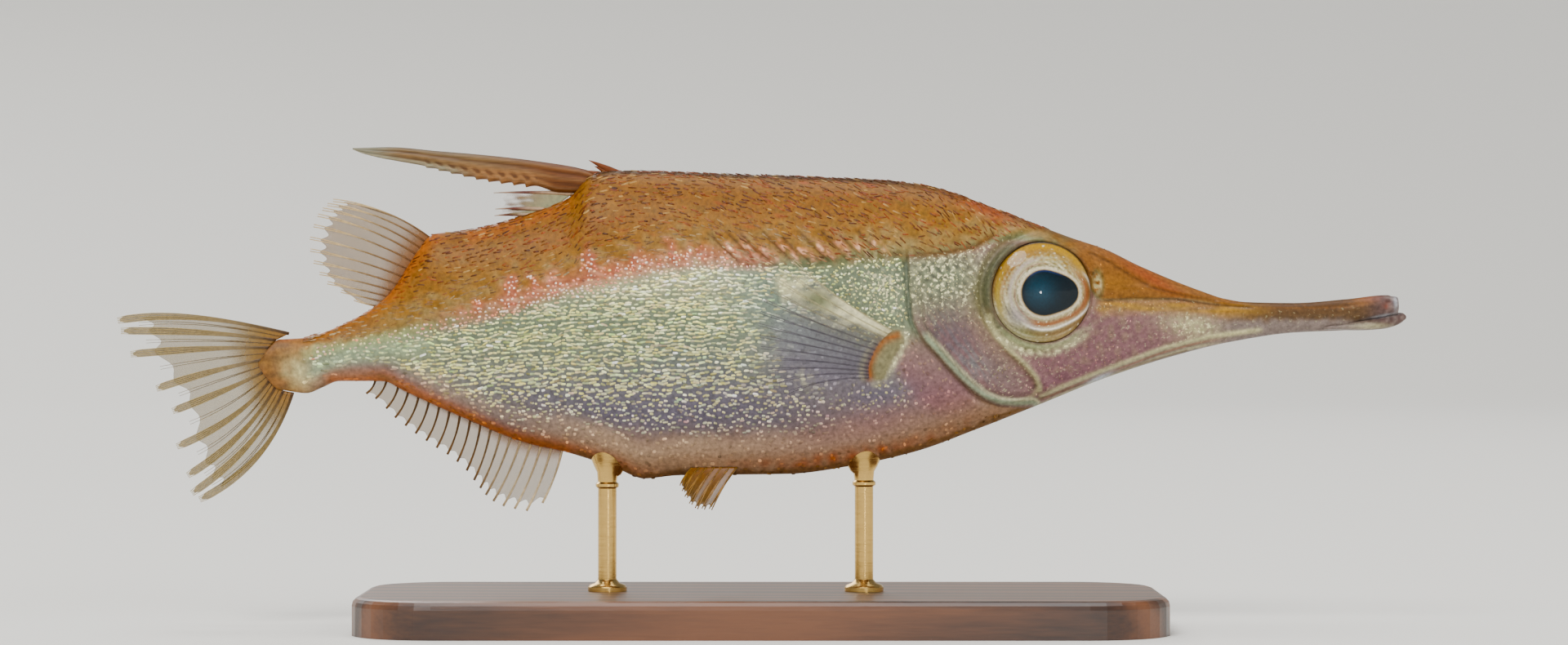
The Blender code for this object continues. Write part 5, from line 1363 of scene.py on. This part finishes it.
PECTORAL_RAYS, PELVIC_RAYS = 13, 7
PECTORAL_FEET = [(14.6, 31.6), (13.2, 30.7), (12.3, 29.3), (11.8, 27.9), (11.8, 26.9)]
PECTORAL_TIPS = [(3.4, 39.3), (0.9, 36.3), (-0.2, 32.6), (0.2, 29.0), (2.9, 25.5)]
pectoral_feet, pectoral_tips = (along_rays(ends, PECTORAL_RAYS) for ends in (PECTORAL_FEET, PECTORAL_TIPS))
pectoral_courses = with_bow(pectoral_feet, pectoral_tips, np.linspace(0.5, -0.5, PECTORAL_RAYS))
fork = 0.12 * ramp(shares, 0.45, 1.0)
rods, _, rods_n = forked_rods(pectoral_courses, beside_flank, fork, 0.11 - 0.065 * shares)
film, film_s, _ = fin_film(pectoral_courses, beside_flank, 0.94, 0.05)
ray_colour = blend("#C0B684", "#544C58", ramp(rods_n, 1.5, 4.5))
build_pair("pectoral_fin", "rays", ray_resin, rods, ray_colour, 0.38)
film_x, film_z = film[..., 0], film[..., 2]
mottle = ramp(wander(film_x, film_z, 1.6, 62), -1.4, 0.6)
# The cream on the film is painted highlight: along its upper edge and in two patches where the top rays
# catch the light
upper_edge = from_line(film_x, film_z, [(8.6, 34.6), (11.0, 33.3), (13.4, 31.8)])
cream = 0.7 * near(upper_edge, 0.8) * (0.6 + 0.4 * mottle)
cream = cream + 0.9 * blob(film_x, film_z, (3.4, 37.0), (2.0, 1.5), -50) * mottle
cream = cream + 0.75 * blob(film_x, film_z, (8.2, 34.9), (2.6, 1.9), -35) * mottle
dark_oval = blob(film_x, film_z, (6.0, 35.2), (2.2, 1.2), -20)
film_body = 0.12 + 0.85 * np.clip(1.2 * cream, 0, 1) * (1 - dark_oval) + 0.7 * dark_oval
film_body = (film_body + 0.3 * ramp(-film_s, -0.12, 0.0)) * ramp(-film_s, -0.97, -0.7)
film_colour = mix(blend("#7A7480", "#EEE8B8", cream * 2.0), linear("#747850"), dark_oval)
build_pair("pectoral_fin", "film", film_resin, film, film_colour, film_body)

pelvic_feet = foot_on(belly, -2.6, -7.4, PELVIC_RAYS, -0.9)
pelvic_tips = along_rays([(-5.4, 12.9), (-6.9, 13.0), (-8.0, 14.2), (-8.5, 15.4)], PELVIC_RAYS)
pelvic_courses = with_bow(pelvic_feet, pelvic_tips, np.full(PELVIC_RAYS, -0.15))
fork = 0.14 * ramp(shares, 0.3, 1.0)
rods, rods_s, _ = forked_rods(pelvic_courses, beside_keel, fork, 0.13 - 0.07 * shares)
film, film_s, _ = fin_film(pelvic_courses, beside_keel, 0.95, 0.06)
build_pair("pelvic_fin", "rays", ray_resin, rods, blend("#96681A", "#74500E", rods_s), 1.0)
build_pair("pelvic_fin", "film", film_resin, film, blend("#764604", "#5E4208", film_s), 0.85)

# Display stand
# A dark stained walnut board and two turned brass rods. Each rod ends in a small cup that is
# shaped to the belly and holds the fish.
ROD_FEET = {"stand_rod_front": 11.0, "stand_rod_rear": -16.5}
BASE_TOP = 4.0
# The rods' turning as (height, radius): over the base's top, then from the fish's keel
FOOT_TURNING = [(-0.6, 1.0), (0.02, 1.0), (0.02, 2.1), (0.45, 2.1), (0.7, 1.9), (0.9, 1.35), (1.3, 1.0)]
CUP_TURNING = [
    (-2.4, 1.0), (-2.2, 1.25), (-1.9, 1.25), (-1.7, 1.02), (-0.9, 1.1), (-0.45, 1.45), (0.05, 1.7),
    (0.1, 1.6), (-0.2, 1.0), (-0.25, 0.3),
]


def walnut():
    """Stained walnut, planed and waxed: grain drawn out along the board, rings 2 mm apart and
    fine dark pores."""
    material, tree = new_material("waxed_walnut")
    place = place_on(tree, Scale=(0.08, 1.0, 1.0), Rotation=(0.5, 0.06, 0.03))
    wave = add_node(
        tree, "ShaderNodeTexWave",
        {"Vector": place, "Scale": 90.0, "Distortion": 5.0, "Detail": 3.0, "Detail Scale": 1.2},
        wave_type="BANDS", bands_direction="DIAGONAL",
    )
    pores = noise(tree, place, 3000.0, 2.0)
    stain = spread(tree, scaled_sum(tree, pores, 0.6, wave.outputs["Fac"]), 0.2, 1.3, 0.0, 1.0)
    return finished(material, {
        "Base Color": mixed(tree, stain, (*linear("#2A160C"), 1), (*linear("#6A3F22"), 1)),
        "Normal": bumped(tree, 0.3, 0.05, pores), "Roughness": 0.4, "Coat Weight": 0.25,
        "Coat Roughness": 0.25,
    })


def brass():
    """Turned and polished brass: warm yellow metal with faint tool rings round the rod."""
    material, tree = new_material("polished_brass")
    rings = noise(tree, place_on(tree, Scale=(0.05, 0.05, 1.0)), 5000.0, 2.0)
    return finished(material, {
        "Base Color": (*linear("#C9A45C"), 1), "Metallic": 1.0,
        "Roughness": spread(tree, rings, 0.3, 0.7, 0.14, 0.3),
    })


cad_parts["stand_base"].material_slots[0].material = walnut()
brass_rod = brass()
for node, at in ROD_FEET.items():
    keel_z = float(belly(at))
    slope = float(belly(at + 0.5) - belly(at - 0.5))
    foot = [(BASE_TOP + up, radius) for up, radius in FOOT_TURNING]
    cup = [(keel_z + up, radius) for up, radius in CUP_TURNING]
    height, radius = np.array(foot + cup).T[..., None]
    turn = np.linspace(0, 2 * math.pi, 48, endpoint=False)[None, :]
    rod_x, rod_y = at + radius * np.cos(turn), radius * np.sin(turn)
    lift = ramp(height, keel_z - 1.7, keel_z - 0.3)
    rod_z = height + lift * (slope * (rod_x - at) + 0.65 * np.abs(rod_y) ** 1.4)
    rod_points, rod_faces = loft(rod_x, rod_y, rod_z)
    rod = make_piece(node + "_brass", rod_points, rod_faces, brass_rod)
    rod.data.set_sharp_from_angle(angle=math.radians(35))
    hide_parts(node)

# Camera
# Square to the fish's right side from the photo's height, with a long lens.
LENS, SENSOR = 100.0, 36.0
FRAME_WIDTH = 168.0  # mm of the fish's plane across the picture
camera_data = bpy.data.cameras.new("camera")
camera_data.lens, camera_data.sensor_width = LENS, SENSOR
camera_data.clip_start, camera_data.clip_end = 0.01, 20.0
camera = new_object("camera", camera_data)
camera.location = (0.00243, -LENS / SENSOR * FRAME_WIDTH * MM, 0.0328)
camera.rotation_euler = (math.radians(90), 0, 0)
bpy.context.scene.camera = camera

# Studio
# A pale floor that rises far out all round like a shallow bowl, so that no horizon shows, and
# broad soft lights.
FLAT_FLOOR, FLOOR_EDGE, FLOOR_RISE = 1.3, 3.6, 2.2
SUBJECT = Vector((0.0, 0.0, 0.03))
LAMPS = [  # name, place, size and power
    ("key_light", (-0.5, -1.3, 1.3), 0.8, 29.5), ("fill_light", (1.3, -1.1, 0.7), 1.0, 10.0),
    ("top_light", (0.0, 0.2, 2.0), 1.6, 33.0), ("back_light", (-0.6, 1.5, 1.1), 1.0, 14.0),
    ("catch_light", (0.135, -0.6, 0.045), 0.03, 0.25),
]
floor_rings = [[0.02], np.linspace(0.1, FLAT_FLOOR, 24), np.linspace(1.4, FLOOR_EDGE, 30)]
floor_ring = np.concatenate(floor_rings)[:, None]
turn = clockwise(96)
rise = FLOOR_RISE * np.clip((floor_ring - FLAT_FLOOR) / (FLOOR_EDGE - FLAT_FLOOR), 0, 1) ** 2
floor_points, floor_faces = loft(floor_ring * np.cos(turn), floor_ring * np.sin(turn), rise)
floor_paint = finished(new_material("matt_studio_paint")[0], {
    "Base Color": (*linear("#E4E2DC"), 1), "Roughness": 0.9, "Specular IOR Level": 0.0,
})
floor_mesh = smooth_mesh("studio_floor", floor_points, floor_faces[:-1], floor_paint)
studio_floor = new_object("studio_floor", floor_mesh)
for name, place, size, power in LAMPS:
    light = bpy.data.lights.new(name, "AREA")
    light.shape, light.size, light.energy = "DISK", size, power
    lamp = new_object(name, light)
    lamp.location = place
    lamp.rotation_mode = "QUATERNION"
    lamp.rotation_quaternion = (SUBJECT - Vector(place)).to_track_quat("-Z", "Y")
    lamp.visible_camera = False
    lamp.visible_glossy = name != "fill_light"
    lamp.visible_diffuse = name != "catch_light"
world = bpy.data.worlds.new("studio_air")
world.use_nodes = True
air = world.node_tree.nodes["Background"]
fill(world.node_tree, air, {"Color": (0.92, 0.94, 0.96, 1), "Strength": 0.28})
bpy.context.scene.world = world
